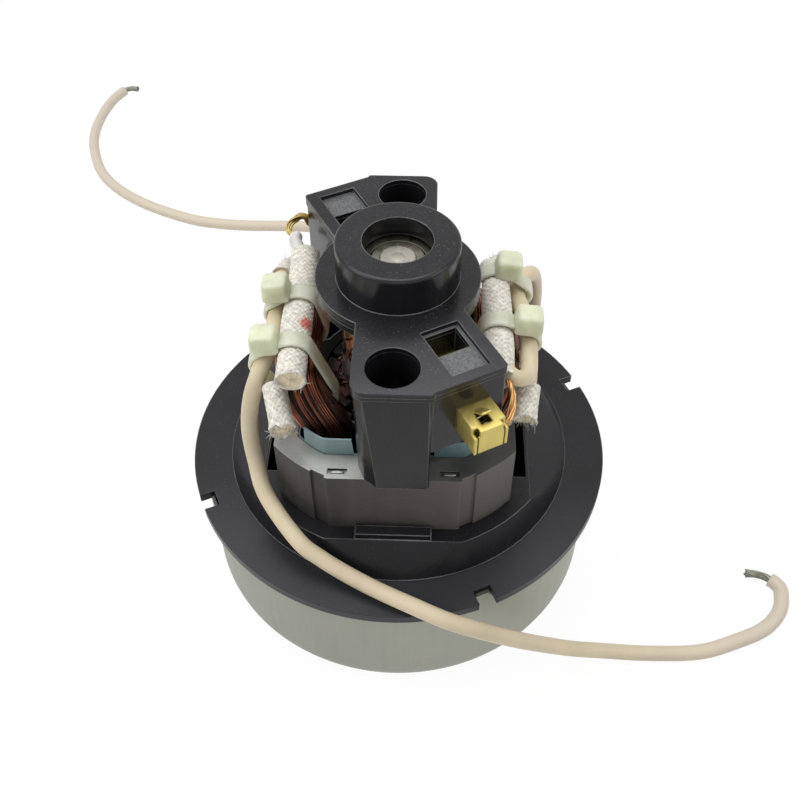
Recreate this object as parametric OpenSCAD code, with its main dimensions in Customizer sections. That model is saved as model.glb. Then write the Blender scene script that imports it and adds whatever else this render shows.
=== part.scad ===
// Vacuum motor unit: a two pole universal motor standing on its suction fan, built as separate pieces.
// Millimetres. The floor is z = 0, the shaft is the Z axis and the front arm points to -Y.

/* [Fan case] */
// Outer radius of the pressed steel case
case_r = 51.2; // [46:0.2:58]
// Height of the case up to its rim
case_h = 36.2; // [34:0.2:44]
// Thickness of the case sheet
case_t = 0.8; // [0.5:0.1:1.4]
// Outer radius of the bottom corner
case_corner = 8; // [4:0.5:11]
// Radius of the air inlet
inlet_r = 17.5; // [15:0.5:19]
// Height of the lip turned in at the inlet
inlet_lip = 3.4; // [2.4:0.1:4.2]
// Radius of the raised middle of the bottom
step_r = 30; // [26:0.5:38]
// Height of the raised middle
step_h = 1.5; // [1:0.1:2]

/* [Frame] */
// How far the rim stands out past the case
rim_over = 2.8; // [1.5:0.1:4]
// Thickness of the rim
rim_t = 2.5; // [2:0.1:3.2]
// Width of the flat rim inside its edge
rim_w = 9.8; // [8.6:0.1:10.6]
// Height of the deck above the rim
deck_rise = 7.8; // [7:0.1:10]
// Width of an edge notch
notch_w = 4.6; // [4:0.1:6]
// Angle of the first notch
notch_angle = 25; // [15:1:35]

/* [Stator] */
// Width of the stack across the poles
core_w = 56; // [54:0.5:58]
// Length of the stack along the arms
core_l = 69; // [68:0.5:71]
// Height of the stack
core_h = 18.5; // [16:0.5:24]
// Radius of the rounded corners of the stack
core_r = 37.6; // [37:0.1:39]
// Radius of the bore
bore_r = 18.2; // [17.8:0.1:18.6]
// Diameter of the wire in the outer winding layer
wire_d = 0.9; // [0.6:0.05:1]
// Loops in the outer winding layer
loops = 12; // [8:1:12]
// Height of the slot liners above the stack
liner_rise = 5.5; // [4:0.5:7]

/* [End bracket] */
// Height of the arms above the stack
arm_h = 31.2; // [30:0.1:36]
// Width of an arm
arm_w = 17.3; // [16.4:0.1:17.6]
// Outer radius of the bearing hub
hub_r = 14; // [13.2:0.1:16]
// Height of the hub above the arms
hub_h = 9.5; // [8:0.1:12]
// Radius of the hole in the top of the hub
hub_hole_r = 7.9; // [6.5:0.1:9.5]
// Radius of the disc under the hub
disc_r = 18.7; // [17:0.1:20]
// Radius of the screw access holes
access_r = 5.8; // [5:0.1:6.4]
// Width of a brush wing
wing_w = 15; // [13.5:0.1:16]
// Distance of the wing end from the shaft
wing_end = 36.2; // [34:0.1:38]

/* [Brushes] */
// Turn of the brush wings from the arms
brush_turn = 28.5; // [24:0.5:32]
// Width of a brass brush box
box_w = 7.9; // [7:0.1:9]
// Height of a brass brush box
box_h = 6.7; // [6:0.1:7.6]
// Wall of a brush box
box_t = 0.6; // [0.4:0.05:0.8]
// How far a box stands out of its wing
box_out = 7.3; // [5:0.1:9]
// Length of a carbon brush
brush_l = 17; // [13:0.5:19]
// Radius of the commutator
comm_r = 11.5; // [10.5:0.1:12]

/* [Rotor] */
// Air gap between armature and poles
air_gap = 0.6; // [0.4:0.05:0.9]
// Slots in the armature
slots = 11; // [9:1:13]
// Radius of the impeller
fan_r = 44; // [40:0.5:46]
// Blades in the impeller
blades = 8; // [6:1:10]
// Sheet thickness of the impeller
fan_t = 0.8; // [0.5:0.1:1]

/* [Leads] */
// Diameter of a lead
lead_d = 4; // [3:0.1:4]
// Width of the glass sleeves
sleeve_d = 7; // [6:0.1:7]
// Width of a tie band
tie_w = 4.6; // [3.5:0.1:5]
// Thickness of a tie band
tie_t = 1.1; // [0.8:0.1:1.2]

/* [Hidden] */
$fn = 96;
// 608 ball bearings, which the whole unit is scaled on
ball_bore = 4;
ball_out = 11;
ball_h = 7;
fit = 0.04;
rim_r = case_r + rim_over;
rim_top = case_h + rim_t;
ramp_r = rim_r - rim_w;
deck_z = rim_top + deck_rise;
deck_x = core_w / 2 + 5;
deck_y = core_l / 2 + 3.5;
deck_r = core_r + 3.8;
deck_t = 2.2;
core_top = deck_z + core_h;
core_mid = deck_z + core_h / 2;
screw_y = core_l / 2 - 4.85;
arm_top = core_top + arm_h;
hub_top = arm_top + hub_h;
lip_t = 4.7;
low_bearing = case_h - 7.2;
top_bearing = hub_top - lip_t - 0.5 - ball_h;
plate_t = 2.3;
screw_seat = core_top + 7;
brush_z = arm_top - 11.5;
box_end = wing_end + box_out;
box_start = comm_r + 2.1;
wing_z = brush_z - box_h / 2 - 4.3;
// Reach of a wing's end towards its arm, so that the two meet without a cleft
web_y = max(wing_w / 2, (wing_end * sin(brush_turn) - arm_w / 2) / cos(brush_turn));
web_l = 7;
edge_r = 0.8;
corner_r = 3.4;
comm_z = brush_z - 8.2;
comm_top = brush_z + 6.8;
arm_r = bore_r - air_gap;
coil_x = core_w * 0.26;
coil_y = 20.9;
coil_up = core_h / 2 + 12.2;
coil_down = core_h / 2 + 8.3;
flare = 8.6;
wind_n = 3.6;
wind_x = core_w * 0.0875;
sleeve_z = core_mid + coil_up + wind_n + wire_d / 2 + sleeve_d * 0.4 + 0.5;
sleeve_x = coil_x + flare;
lead_x = sleeve_x + 7.3;
lead_z = sleeve_z - 2.55;
left_ties = [-13.4, 2.5];
right_ties = [-12, 5.2];
// Routes of the two leads, chosen by hand to lie where the photo shows them
front_route = [
    [-lead_x + 0.7, 17.5, lead_z - 3], [-lead_x + 1.2, 12, lead_z - 0.8], [-lead_x + 1.6, 5, lead_z],
    [-lead_x + 1.6, -3, lead_z], [-lead_x + 1.4, -11, lead_z], [-lead_x - 0.2, -16.6, lead_z - 1.3],
    [-lead_x - 2.4, -19.6, lead_z - 7.6], [-lead_x - 3.6, -20.8, deck_z + 19],
    [-lead_x - 2.9, -22.9, deck_z + 9.8], [-lead_x - 0.1, -29.1, deck_z + 4.2],
    [-22.4, -38.8, deck_z + 0.2], [-16.7, -42.1, rim_top + 5.4], [-10, -45.3, rim_top + 3.5],
    [-2.8, -48.7, rim_top + 2.6], [4.5, -52, rim_top + 2.4], [13, -55.4, rim_top + 1.7],
    [20.8, -54.9, rim_top - 3.2], [31.3, -51, 24.5], [44.5, -45.4, 11.3], [55, -42.2, lead_d + 0.6],
    [67.8, -41.1, lead_d / 2], [81.3, -40.2, lead_d / 2], [92.5, -36.3, lead_d / 2],
    [100, -32.5, lead_d / 2], [105, -27, lead_d / 2], [106.7, -21, lead_d / 2],
    [105.9, -18.5, lead_d / 2], [104.4, -17.1, lead_d / 2]];
rear_route = [
    [lead_x - 0.7, -17.5, lead_z - 3], [lead_x - 0.3, -12, lead_z - 0.8], [lead_x - 0.2, -5, lead_z],
    [lead_x - 1, 3, lead_z - 0.3], [lead_x - 2, 9.5, lead_z - 0.9], [lead_x - 2, 12.6, lead_z - 0.9],
    [lead_x - 0.7, 16, lead_z - 0.5], [lead_x + 1.3, 19.2, lead_z - 1.4],
    [lead_x + 2.8, 22.6, lead_z - 5], [lead_x + 3.8, 24.6, lead_z - 11],
    [lead_x + 4.1, 25.4, deck_z + 17.5], [lead_x + 3.1, 27.6, deck_z + 9], [29, 34, deck_z + 3],
    [22.5, 40.4, deck_z - 1.5], [14.5, 45.6, rim_top + 2.9], [9, 50.5, rim_top + 2.8],
    [5, 56.5, rim_top + 2.2], [2.5, 64, rim_top - 2.7], [1, 74, 29], [-0.5, 85, 21], [-2, 96, 13.5],
    [-4, 107, 7], [-8, 118, 3.2], [-14.5, 127, lead_d / 2], [-24, 133.5, lead_d / 2],
    [-36, 136.6, lead_d / 2], [-49.2, 137.2, lead_d / 2], [-62.8, 137, lead_d / 2],
    [-74.6, 137.8, lead_d / 2], [-86.8, 140.4, lead_d / 2], [-104.2, 148.2, lead_d / 2],
    [-118.5, 158.3, lead_d / 2], [-128.7, 170.4, lead_d / 2], [-135.5, 186, lead_d / 2],
    [-138.3, 198, lead_d / 2], [-138.7, 209, lead_d / 2], [-137.9, 218.7, lead_d / 2],
    [-136.2, 226.6, lead_d / 2], [-133.4, 233, lead_d / 2]];

function unit(v) = v / norm(v);
function carry(n, t) = unit(n - t * (n * t));
function last(p) = len(p) - 1;
function heading(p, i) = unit(p[min(i + 1, last(p))] - p[max(i - 1, 0)]);
function headings(p) = [for (i = [0 : last(p)]) heading(p, i)];
function frames(t, n, i = 0) =
    i > last(t) ? [] : let (m = carry(n, t[i])) concat([m], frames(t, m, i + 1));
function turned(p) = [for (q = p) [-q[0], -q[1], q[2]]];
function signed_pow(v, e) = sign(v) * pow(abs(v), e);
function ease(v) = let (c = min(max(v, 0), 1)) c * c * (3 - 2 * c);

// A round tube through ring centres p, with ring normals n and headings t
module ring_tube(p, t, n, r, sides) {
    pts = [for (i = [0 : last(p)], k = [0 : sides - 1])
        p[i] + r * (cos(360 * k / sides) * n[i] + sin(360 * k / sides) * cross(t[i], n[i]))];
    sides_lo = [for (i = [0 : last(p) - 1], k = [0 : sides - 1])
        [i * sides + k, (i + 1) * sides + k, (i + 1) * sides + (k + 1) % sides]];
    sides_hi = [for (i = [0 : last(p) - 1], k = [0 : sides - 1])
        [i * sides + k, (i + 1) * sides + (k + 1) % sides, i * sides + (k + 1) % sides]];
    first_cap = [for (k = [1 : sides - 2]) [0, k, k + 1]];
    end = last(p) * sides;
    last_cap = [for (k = [1 : sides - 2]) [end, end + k + 1, end + k]];
    polyhedron(points = pts, faces = concat(sides_lo, sides_hi, first_cap, last_cap), convexity = 10);
}

module route_tube(p, r, sides) {
    t = headings(p);
    ring_tube(p, t, frames(t, [0, 0, 1] + 0.2 * [1, 1, 0]), r, sides);
}

module around(count, start = 0) {
    for (i = [0 : count - 1])
        rotate([0, 0, start + 360 * i / count])
            children();
}

module both_ends() {
    children();
    rotate([0, 0, 180])
        children();
}

// Turns a piece drawn along +X to the front brush direction
module to_brush() {
    rotate([0, 0, brush_turn - 90])
        children();
}

module ring(r_out, r_in, h) {
    difference() {
        cylinder(r = r_out, h = h);
        translate([0, 0, -1])
            cylinder(r = r_in, h = h + 2);
    }
}

// Half section of a cup with a rounded bottom corner
module cup_half(r, h, c) {
    square([r - c, h]);
    translate([0, c])
        square([r, h - c]);
    translate([r - c, c])
        circle(r = c);
}

module fan_case() {
    color([0.62, 0.62, 0.6]) {
        rotate_extrude() {
            difference() {
                cup_half(case_r, case_h, case_corner);
                translate([0, case_t])
                    cup_half(case_r - case_t, case_h, case_corner - case_t);
                translate([-1, -1])
                    square([step_r + 1, case_h]);
            }
            translate([step_r, 0])
                square([case_t, step_h + case_t]);
            translate([inlet_r, step_h])
                square([step_r + case_t / 2 - inlet_r, case_t]);
            translate([inlet_r, step_h])
                square([case_t, inlet_lip]);
        }
        around(4, notch_angle)
            translate([case_r - case_t, -notch_w / 2 + 0.5, case_h - 1])
                cube([case_t, notch_w - 1, rim_t]);
    }
}

module deck_shape(inset) {
    intersection() {
        square([2 * (deck_x - inset), 2 * (deck_y - inset)], center = true);
        circle(r = deck_r - inset);
    }
}

module deck_hole() {
    difference() {
        union() {
            square([2 * deck_x - 1.4, 36], center = true);
            square([46, core_l - 14], center = true);
        }
        for (y = [-screw_y, screw_y])
            translate([0, y])
                circle(r = 5);
    }
}

module frame() {
    rib_z = low_bearing - 0.5;
    color([0.07, 0.07, 0.075])
    difference() {
        union() {
            difference() {
                union() {
                    translate([0, 0, case_h])
                        cylinder(r = rim_r, h = rim_t);
                    hull() {
                        translate([0, 0, rim_top - 0.5])
                            cylinder(r = ramp_r, h = 0.4, $fn = 72);
                        translate([0, 0, deck_z - 0.4])
                            linear_extrude(0.4)
                                deck_shape(0, $fn = 72);
                    }
                }
                hull() {
                    translate([0, 0, case_h - 1])
                        cylinder(r = ramp_r - 2.4, h = 0.4, $fn = 72);
                    translate([0, 0, deck_z - deck_t - 0.4])
                        linear_extrude(0.4)
                            deck_shape(deck_t * 0.6, $fn = 72);
                }
            }
            translate([0, 0, rib_z + 1.5])
                ring(case_r - case_t - 0.2, case_r - case_t - 1.6, case_h - rib_z - 1);
            translate([0, 0, low_bearing - 6])
                cylinder(r = 14, h = ball_h + 6.5);
            around(6, 30)
                translate([12, -1.2, rib_z])
                    cube([case_r - case_t - 13, 2.4, 5]);
            for (y = [-screw_y, screw_y])
                translate([0, y, rib_z + 4])
                    cylinder(r = 4.5, h = deck_z - rib_z - 5);
            both_ends()
                translate([-9, -deck_y + 0.2, deck_z - 0.5])
                    cube([18, 2.6, 2.3]);
        }
        translate([0, 0, deck_z - deck_t - 3])
            linear_extrude(deck_t + 4)
                deck_hole();
        translate([0, 0, low_bearing])
            cylinder(r = ball_out + fit, h = ball_h + 3);
        translate([0, 0, low_bearing - 8])
            cylinder(r = 8.6, h = 10);
        for (y = [-screw_y, screw_y])
            translate([0, y, rib_z + 6])
                cylinder(r = 2.1, h = deck_z);
        around(4, notch_angle)
            translate([case_r - case_t - 0.3, -notch_w / 2, case_h - 1])
                cube([10, notch_w, rim_t + 2]);
    }
}

module diffuser() {
    plate_z = low_bearing - 10.8;
    color([0.1, 0.1, 0.1]) {
        translate([0, 0, plate_z])
            difference() {
                union() {
                    cylinder(r = case_r - 5, h = 1.5);
                    cylinder(r = 16, h = 9);
                }
                translate([0, 0, -1])
                    cylinder(r = 9, h = 12);
                translate([0, 0, 1.5])
                    cylinder(r = 14 + fit, h = 12);
            }
        translate([0, 0, plate_z + 1.4])
            around(9, 10)
                intersection() {
                    translate([20, 14, 0])
                        ring(27, 25.6, 8.6);
                    translate([15.5, -12, 0])
                        cube([case_r - 24, 40, 8.6]);
                    ring(case_r - 5.3, 15.5, 8.6);
                }
    }
}

module core_outline() {
    difference() {
        intersection() {
            square([core_w, core_l], center = true);
            circle(r = core_r);
        }
        for (a = [-62.6, 62.6, 117.4, 242.6])
            rotate(a)
                translate([core_r, 0])
                    square([1.2, 3.6], center = true);
    }
}

module pole_shape() {
    square([core_w, 20], center = true);
    intersection() {
        circle(r = bore_r + 2.2);
        union() {
            polygon([[0, 0], [40, 59], [40, -59]]);
            polygon([[0, 0], [-40, 59], [-40, -59]]);
        }
    }
    for (y = [-screw_y, screw_y])
        translate([0, y])
            circle(r = 5);
}

module window_shape() {
    intersection() {
        square([core_w - 10.6, core_l - 14], center = true);
        circle(r = core_r - 5.8);
    }
}

module stator_core() {
    color([0.3, 0.3, 0.28])
    difference() {
        translate([0, 0, deck_z])
            linear_extrude(core_h)
                difference() {
                    core_outline();
                    difference() {
                        window_shape();
                        pole_shape();
                    }
                    circle(r = bore_r);
                    for (y = [-screw_y, screw_y])
                        translate([0, y])
                            circle(r = 2.3);
                }
        for (x = [-12.7, 12.7], y = [-core_l / 2 + 2.2, core_l / 2 - 2.2])
            translate([x - 2.25, y - 0.75, core_top - 0.8])
                cube([4.5, 1.5, 2]);
    }
}

// Outline of the two slots on the -X side, shrunk by g
module slot_shape(g) {
    offset(delta = -g, $fn = 32)
        difference() {
            intersection() {
                window_shape($fn = 64);
                translate([-40, -40])
                    square([34.4, 80]);
            }
            pole_shape($fn = 64);
            circle(r = bore_r + 1.6, $fn = 64);
        }
}

module liner_pair() {
    color([0.45, 0.62, 0.68]) {
        translate([0, 0, deck_z - 1.5])
            linear_extrude(core_h + 1.5)
                difference() {
                    slot_shape(0.12);
                    slot_shape(0.5);
                }
        translate([0, 0, core_top - 0.2])
            linear_extrude(liner_rise + 0.2)
                intersection() {
                    difference() {
                        slot_shape(0.12);
                        slot_shape(0.5);
                    }
                    union() {
                        translate([-20.6, 22.4])
                            square([11.2, 12]);
                        translate([-20.6, -34.4])
                            square([11.2, 12]);
                    }
                }
    }
}

module left_liners() {
    liner_pair();
}

module right_liners() {
    rotate([0, 0, 180])
        liner_pair();
}

// Centre line of the left coil at loop angle a
function coil_rise(a) = (sin(a) >= 0 ? coil_up : coil_down) * signed_pow(sin(a), 2 / 3);
function coil_line(a) = [
    -coil_x - flare * ease((abs(coil_rise(a)) - core_h / 2 + 1.2) / 13.5),
    coil_y * signed_pow(cos(a), 2 / 3),
    core_mid + coil_rise(a)];
function coil_heading(a) = unit(coil_line(a + 1) - coil_line(a - 1));
function coil_out(a) = let (p = coil_line(a), h = sin(a) >= 0 ? coil_up : coil_down) carry([
    0,
    signed_pow(p[1] / coil_y, 2) / coil_y,
    signed_pow((p[2] - core_mid) / h, 2) / h], coil_heading(a));
function coil_point(a, turn) =
    let (n = coil_out(a))
    coil_line(a) + n * wind_n * cos(turn) + cross(coil_heading(a), n) * wind_x * sin(turn);
wind_step = 22;
wind_first = -wind_step * loops / 2;
wind_rings = 24 * loops;
wind_angle = [for (i = [0 : wind_rings]) 7.5 + 15 * i];
wind_mid = [for (i = [0 : wind_rings])
    coil_point(wind_angle[i] % 360, wind_first + wind_step * i / 24)];
wind_path = concat(
    [wind_mid[0] - wire_d * heading(wind_mid, 0)],
    wind_mid,
    [wind_mid[wind_rings] + wire_d * heading(wind_mid, wind_rings)]);
wind_gap = min([for (i = [0 : wind_rings - 20], j = [i + 20 : min(i + 28, wind_rings)])
    norm(wind_mid[i] - wind_mid[j])]) - wire_d;
echo(least_gap_between_winding_loops_mm = wind_gap);
wind_normal = concat([coil_out(7.5)], [for (a = wind_angle) coil_out(a % 360)], [coil_out(7.5)]);

module coil() {
    t = headings(wind_path);
    core_angle = [for (i = [0 : 24]) 7.5 + 15 * i];
    core_n = wind_n - wire_d / 2 - 0.15;
    core_x = wind_x - wire_d / 2 - 0.15;
    pts = [for (i = [0 : 23], k = [0 : 9])
        let (a = core_angle[i], n = coil_out(a % 360), b = cross(coil_heading(a % 360), n))
        coil_line(a % 360) + n * core_n * cos(36 * k) + b * core_x * sin(36 * k)];
    lo = [for (i = [0 : 23], k = [0 : 9])
        [i * 10 + k, ((i + 1) % 24) * 10 + k, ((i + 1) % 24) * 10 + (k + 1) % 10]];
    hi = [for (i = [0 : 23], k = [0 : 9])
        [i * 10 + k, ((i + 1) % 24) * 10 + (k + 1) % 10, i * 10 + (k + 1) % 10]];
    color([0.5, 0.2, 0.1]) {
        polyhedron(points = pts, faces = concat(lo, hi), convexity = 6);
        ring_tube(wind_path, t, [for (i = [0 : last(t)]) carry(wind_normal[i], t[i])], wire_d / 2, 6);
    }
}

module left_field_coil() {
    coil();
}

module right_field_coil() {
    rotate([0, 0, 180])
        coil();
}

module arm_plan(inset) {
    w = arm_w - 2 * inset;
    end = deck_y - 0.8 - inset;
    translate([-w / 2 + 0.1, -end + corner_r])
        square([w, end - corner_r]);
    translate([-w / 2 + 0.1 + corner_r, -end])
        square([w - corner_r - edge_r, 2 * corner_r]);
    translate([-w / 2 + 0.1 + corner_r, -end + corner_r])
        circle(r = corner_r);
    translate([w / 2 + 0.1 - edge_r, -end + edge_r]) {
        circle(r = edge_r);
        square([edge_r, corner_r]);
    }
}

module wing_plan(inset) {
    to_brush() {
        translate([0, -wing_w / 2 + inset])
            square([wing_end - inset, wing_w - 2 * inset - edge_r]);
        square([wing_end - inset - edge_r, wing_w / 2 - inset]);
        translate([wing_end - inset - edge_r, wing_w / 2 - inset - edge_r])
            circle(r = edge_r);
        translate([wing_end - inset - web_l, -web_y])
            square([web_l, web_y]);
    }
}

module end_bracket() {
    leg_end = deck_y - 1.1;
    color([0.06, 0.06, 0.065])
    difference() {
        union() {
            translate([0, 0, arm_top - plate_t])
                linear_extrude(plate_t) {
                    arm_plan(0);
                    rotate(180)
                        arm_plan(0);
                    wing_plan(0);
                    rotate(180)
                        wing_plan(0);
                }
            translate([0, 0, arm_top - 4])
                cylinder(r = disc_r, h = 4);
            translate([0, 0, arm_top - 1])
                rotate_extrude()
                    union() {
                        square([hub_r - edge_r, hub_h + 1]);
                        square([hub_r, hub_h + 1 - edge_r]);
                        translate([hub_r - edge_r, hub_h + 1 - edge_r])
                            circle(r = edge_r);
                    }
            both_ends()
                hull() {
                    translate([0, 0, arm_top - plate_t - 0.3])
                        linear_extrude(0.4)
                            polygon([
                                [-arm_w / 2 + 0.4, -21.8], [-arm_w / 2 + 0.4, -leg_end + 3.4],
                                [-arm_w / 2 + 2.6, -leg_end], [arm_w / 2 - 0.8, -leg_end],
                                [arm_w / 2 - 0.2, -leg_end + 0.6], [arm_w / 2 - 0.2, -21.8]]);
                    translate([0, 0, core_top + 0.1])
                        linear_extrude(0.4)
                            polygon([
                                [-arm_w / 2 + 0.7, -23.2], [-arm_w / 2 + 0.7, -leg_end + 6],
                                [-arm_w / 2 + 2.2, -leg_end + 2.4], [-arm_w / 2 + 5.2, -leg_end],
                                [arm_w / 2 - 0.9, -leg_end], [arm_w / 2 - 0.5, -leg_end + 0.6],
                                [arm_w / 2 - 0.5, -23.2]]);
                }
            both_ends()
                to_brush() {
                    translate([16.4, -wing_w / 2 + 0.35, wing_z])
                        cube([wing_end - 16.8, wing_w - 0.7, arm_top - wing_z - 1]);
                    translate([wing_end - 0.4 - web_l, -web_y, wing_z])
                        cube([web_l, web_y, arm_top - wing_z - 1]);
                }
        }
        translate([0, 0, arm_top - 6])
            cylinder(r = ball_out + fit, h = hub_h + 6 - lip_t);
        cylinder(r = hub_hole_r, h = hub_top + 1);
        for (y = [-screw_y, screw_y]) {
            translate([0, y, screw_seat])
                cylinder(r = access_r, h = arm_top);
            translate([0, y, core_top - 1])
                cylinder(r = 2.3, h = 20);
        }
        both_ends()
            to_brush() {
                translate([10, -box_w / 2 - 0.1, brush_z - box_h / 2 - 0.1])
                    cube([40, box_w + 0.2, box_h + 0.2]);
                translate([19.6, -4.5, arm_top - 1.2])
                    cube([14.2, 9, 3]);
                translate([20.2, -3.8, brush_z])
                    cube([6.4, 7.6, 20]);
            }
        // Room for the commutator behind the wings
        translate([0, 0, wing_z - 1])
            cylinder(r = comm_r + 4, h = arm_top - 4 - wing_z + 1);
    }
}

module bracket_screws() {
    color([0.6, 0.6, 0.6])
    for (y = [-screw_y, screw_y])
        translate([0, y, 0])
            difference() {
                union() {
                    translate([0, 0, low_bearing + 8])
                        cylinder(r = 2, h = screw_seat - low_bearing - 7);
                    translate([0, 0, screw_seat])
                        cylinder(r = 4, h = 3);
                }
                translate([-2.6, -0.5, screw_seat + 1.8])
                    cube([5.2, 1, 4]);
                translate([-0.5, -2.6, screw_seat + 1.8])
                    cube([1, 5.2, 4]);
            }
}

// Folded brass box along +X, closed at its outer end by a flap
module brush_box() {
    low = brush_z - box_h / 2;
    color([0.78, 0.64, 0.25]) {
        difference() {
            translate([box_start, -box_w / 2, low])
                cube([box_end - box_start, box_w, box_h]);
            translate([box_start - 1, -box_w / 2 + box_t, low + box_t])
                cube([box_end - box_start + 1 - box_t, box_w - 2 * box_t, box_h - 2 * box_t]);
            for (s = [-1, 1]) {
                translate([box_end - box_t - 0.3, s * (box_w / 2 - box_t - 0.2) - 0.2, low - 1])
                    cube([2, 0.4, box_h - 0.4]);
                translate([box_end - box_t - 0.9, s * (box_w / 2 - box_t) - 0.7, low + box_h - 1.8])
                    cube([2, 1.4, 3]);
            }
            translate([box_end - 5.4, -1.5, low + box_h - box_t - 1])
                cube([3.6, 2.6, 3]);
        }
        translate([box_end - 5.5, -1.3, low + box_h - 0.3])
            rotate([0, -38, 0])
                cube([4.2, 2.2, 0.5]);
    }
}

module front_brush_box() {
    to_brush()
        brush_box();
}

module rear_brush_box() {
    rotate([0, 0, 180])
        to_brush()
            brush_box();
}

module carbon() {
    g = 0.15;
    color([0.12, 0.12, 0.13])
    difference() {
        translate([comm_r - 1, -box_w / 2 + box_t + g, brush_z - box_h / 2 + box_t + g])
            cube([brush_l + 1, box_w - 2 * (box_t + g), box_h - 2 * (box_t + g)]);
        cylinder(r = comm_r + 0.3, h = 200);
    }
}

module front_brush() {
    to_brush()
        carbon();
}

module rear_brush() {
    rotate([0, 0, 180])
        to_brush()
            carbon();
}

module push_spring() {
    first = comm_r + brush_l + 0.5;
    reach = box_end - box_t - 0.6 - first;
    turns = 5;
    path = [for (i = [0 : 8 * turns])
        [first + reach * i / (8 * turns), 1.8 * cos(45 * i), brush_z + 1.8 * sin(45 * i)]];
    color([0.5, 0.5, 0.5])
        ring_tube(path, headings(path), frames(headings(path), [1, 0, 0]), 0.3, 6);
}

module front_brush_spring() {
    to_brush()
        push_spring();
}

module rear_brush_spring() {
    rotate([0, 0, 180])
        to_brush()
            push_spring();
}

// Copper wire from the top sleeve down to the side of the brush box, for the right side
module brush_wire() {
    a = brush_turn - 90;
    side = box_w / 2 + 0.65;
    r = wing_end + 2.4;
    foot = [r * cos(a) - side * sin(a), r * sin(a) + side * cos(a), brush_z - 1.8];
    path = [
        [sleeve_x, -21.2, sleeve_z], [sleeve_x + 1.2, -23.8, sleeve_z],
        [sleeve_x + 2, -26.4, sleeve_z - 1.3], [sleeve_x + 1.9, -28.8, sleeve_z - 3.2],
        [sleeve_x + 0.9, -30.6, sleeve_z - 3.4], foot];
    color([0.6, 0.3, 0.15])
        route_tube(path, 0.6, 8);
}

module front_brush_wire() {
    brush_wire();
}

module rear_brush_wire() {
    rotate([0, 0, 180])
        brush_wire();
}

// Outer ring of a bearing with its two shields, standing at z = 0
module bearing_outer() {
    color([0.6, 0.61, 0.62])
    rotate_extrude()
        difference() {
            union() {
                translate([9.2, 0])
                    square([ball_out - 9.2, ball_h]);
                translate([6.4, 0.3])
                    square([3, 0.4]);
                translate([6.4, ball_h - 0.7])
                    square([3, 0.4]);
            }
            translate([7.5, ball_h / 2])
                circle(r = 2.1);
        }
}

module bearing_inner() {
    color([0.66, 0.67, 0.68])
    rotate_extrude()
        difference() {
            translate([ball_bore + 0.02, 0])
                square([2, ball_h]);
            translate([7.5, ball_h / 2])
                circle(r = 2.1);
        }
}

module bearing_balls() {
    color([0.7, 0.7, 0.7])
    translate([0, 0, ball_h / 2]) {
        around(7)
            translate([7.5, 0, 0])
                sphere(r = 1.98, $fn = 48);
        difference() {
            translate([0, 0, -2.5])
                ring(7.9, 7.1, 5);
            around(7)
                translate([5, 0, 0])
                    rotate([0, 90, 0])
                        cylinder(r = 2.1, h = 5);
        }
    }
}

module top_bearing_outer() {
    translate([0, 0, top_bearing])
        bearing_outer();
}

module low_bearing_outer() {
    translate([0, 0, low_bearing])
        bearing_outer();
}

module top_bearing_inner() {
    translate([0, 0, top_bearing])
        bearing_inner();
}

module low_bearing_inner() {
    translate([0, 0, low_bearing])
        bearing_inner();
}

module top_bearing_balls() {
    translate([0, 0, top_bearing])
        bearing_balls();
}

module low_bearing_balls() {
    translate([0, 0, low_bearing])
        bearing_balls();
}

module bearing_washer() {
    color([0.55, 0.55, 0.55])
    translate([0, 0, top_bearing + ball_h + 0.03])
        ring(ball_out - 0.3, 9.2, 0.42);
}

// A glass sleeve from a to b with a shallow mouth at b and, if both is 1, at a
module sleeve(a, b, d, flat, both) {
    v = b - a;
    l = norm(v);
    color([0.9, 0.88, 0.84])
    translate(a)
        rotate([0, acos(v[2] / l), atan2(v[1], v[0])])
            difference() {
                linear_extrude(l)
                    sleeve_plan(d, flat);
                translate([0, 0, l - 1.6])
                    linear_extrude(3)
                        sleeve_plan(d - 1.4, flat);
                if (both == 1)
                    translate([0, 0, -1.4])
                        linear_extrude(3)
                            sleeve_plan(d - 1.4, flat);
            }
}

module sleeve_plan(d, flat) {
    circle(d = d - flat);
    for (s = [-1, 1])
        translate([0, s * flat / 2])
            circle(d = d - flat);
    square([d - flat, flat], center = true);
}

module left_top_sleeve() {
    sleeve([-sleeve_x - 0.5, 20.4, sleeve_z], [-sleeve_x + 0.4, -23.2, sleeve_z], sleeve_d, 1.2, 1);
}

module right_top_sleeve() {
    sleeve([sleeve_x - 0.4, 17, sleeve_z], [sleeve_x - 0.2, -20.8, sleeve_z], sleeve_d, 1.2, 1);
}

module dead_sleeve() {
    top = [-sleeve_x - 4.2, -18.8, sleeve_z - 6.55];
    sleeve(top, top + [2.8, -10.2, -3], sleeve_d - 1.8, 0.4, 0);
}

module splice_sleeve() {
    mouth = [-lead_x + 0.7, 17.5, lead_z - 3];
    difference() {
        sleeve(mouth + [0.9, 7.2, -3.6], mouth, sleeve_d - 1.2, 0.5, 1);
        translate(mouth)
            rotate([68, 0, 0])
                cylinder(d = lead_d + 0.4, h = 3.6, center = true);
    }
}

module left_front_sleeve() {
    dead_sleeve();
}

module right_rear_sleeve() {
    rotate([0, 0, 180])
        dead_sleeve();
}

module left_rear_sleeve() {
    splice_sleeve();
}

module right_front_sleeve() {
    rotate([0, 0, 180])
        splice_sleeve();
}

// Place along the left bundle of a lead that runs along route, from its points in order of falling y
function lead_at(route, y) = [
    lookup(y, [for (i = [0 : 6]) [route[i][1], route[i][0]]]),
    lookup(y, [for (i = [0 : 6]) [route[i][1], route[i][2]]])];

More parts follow.
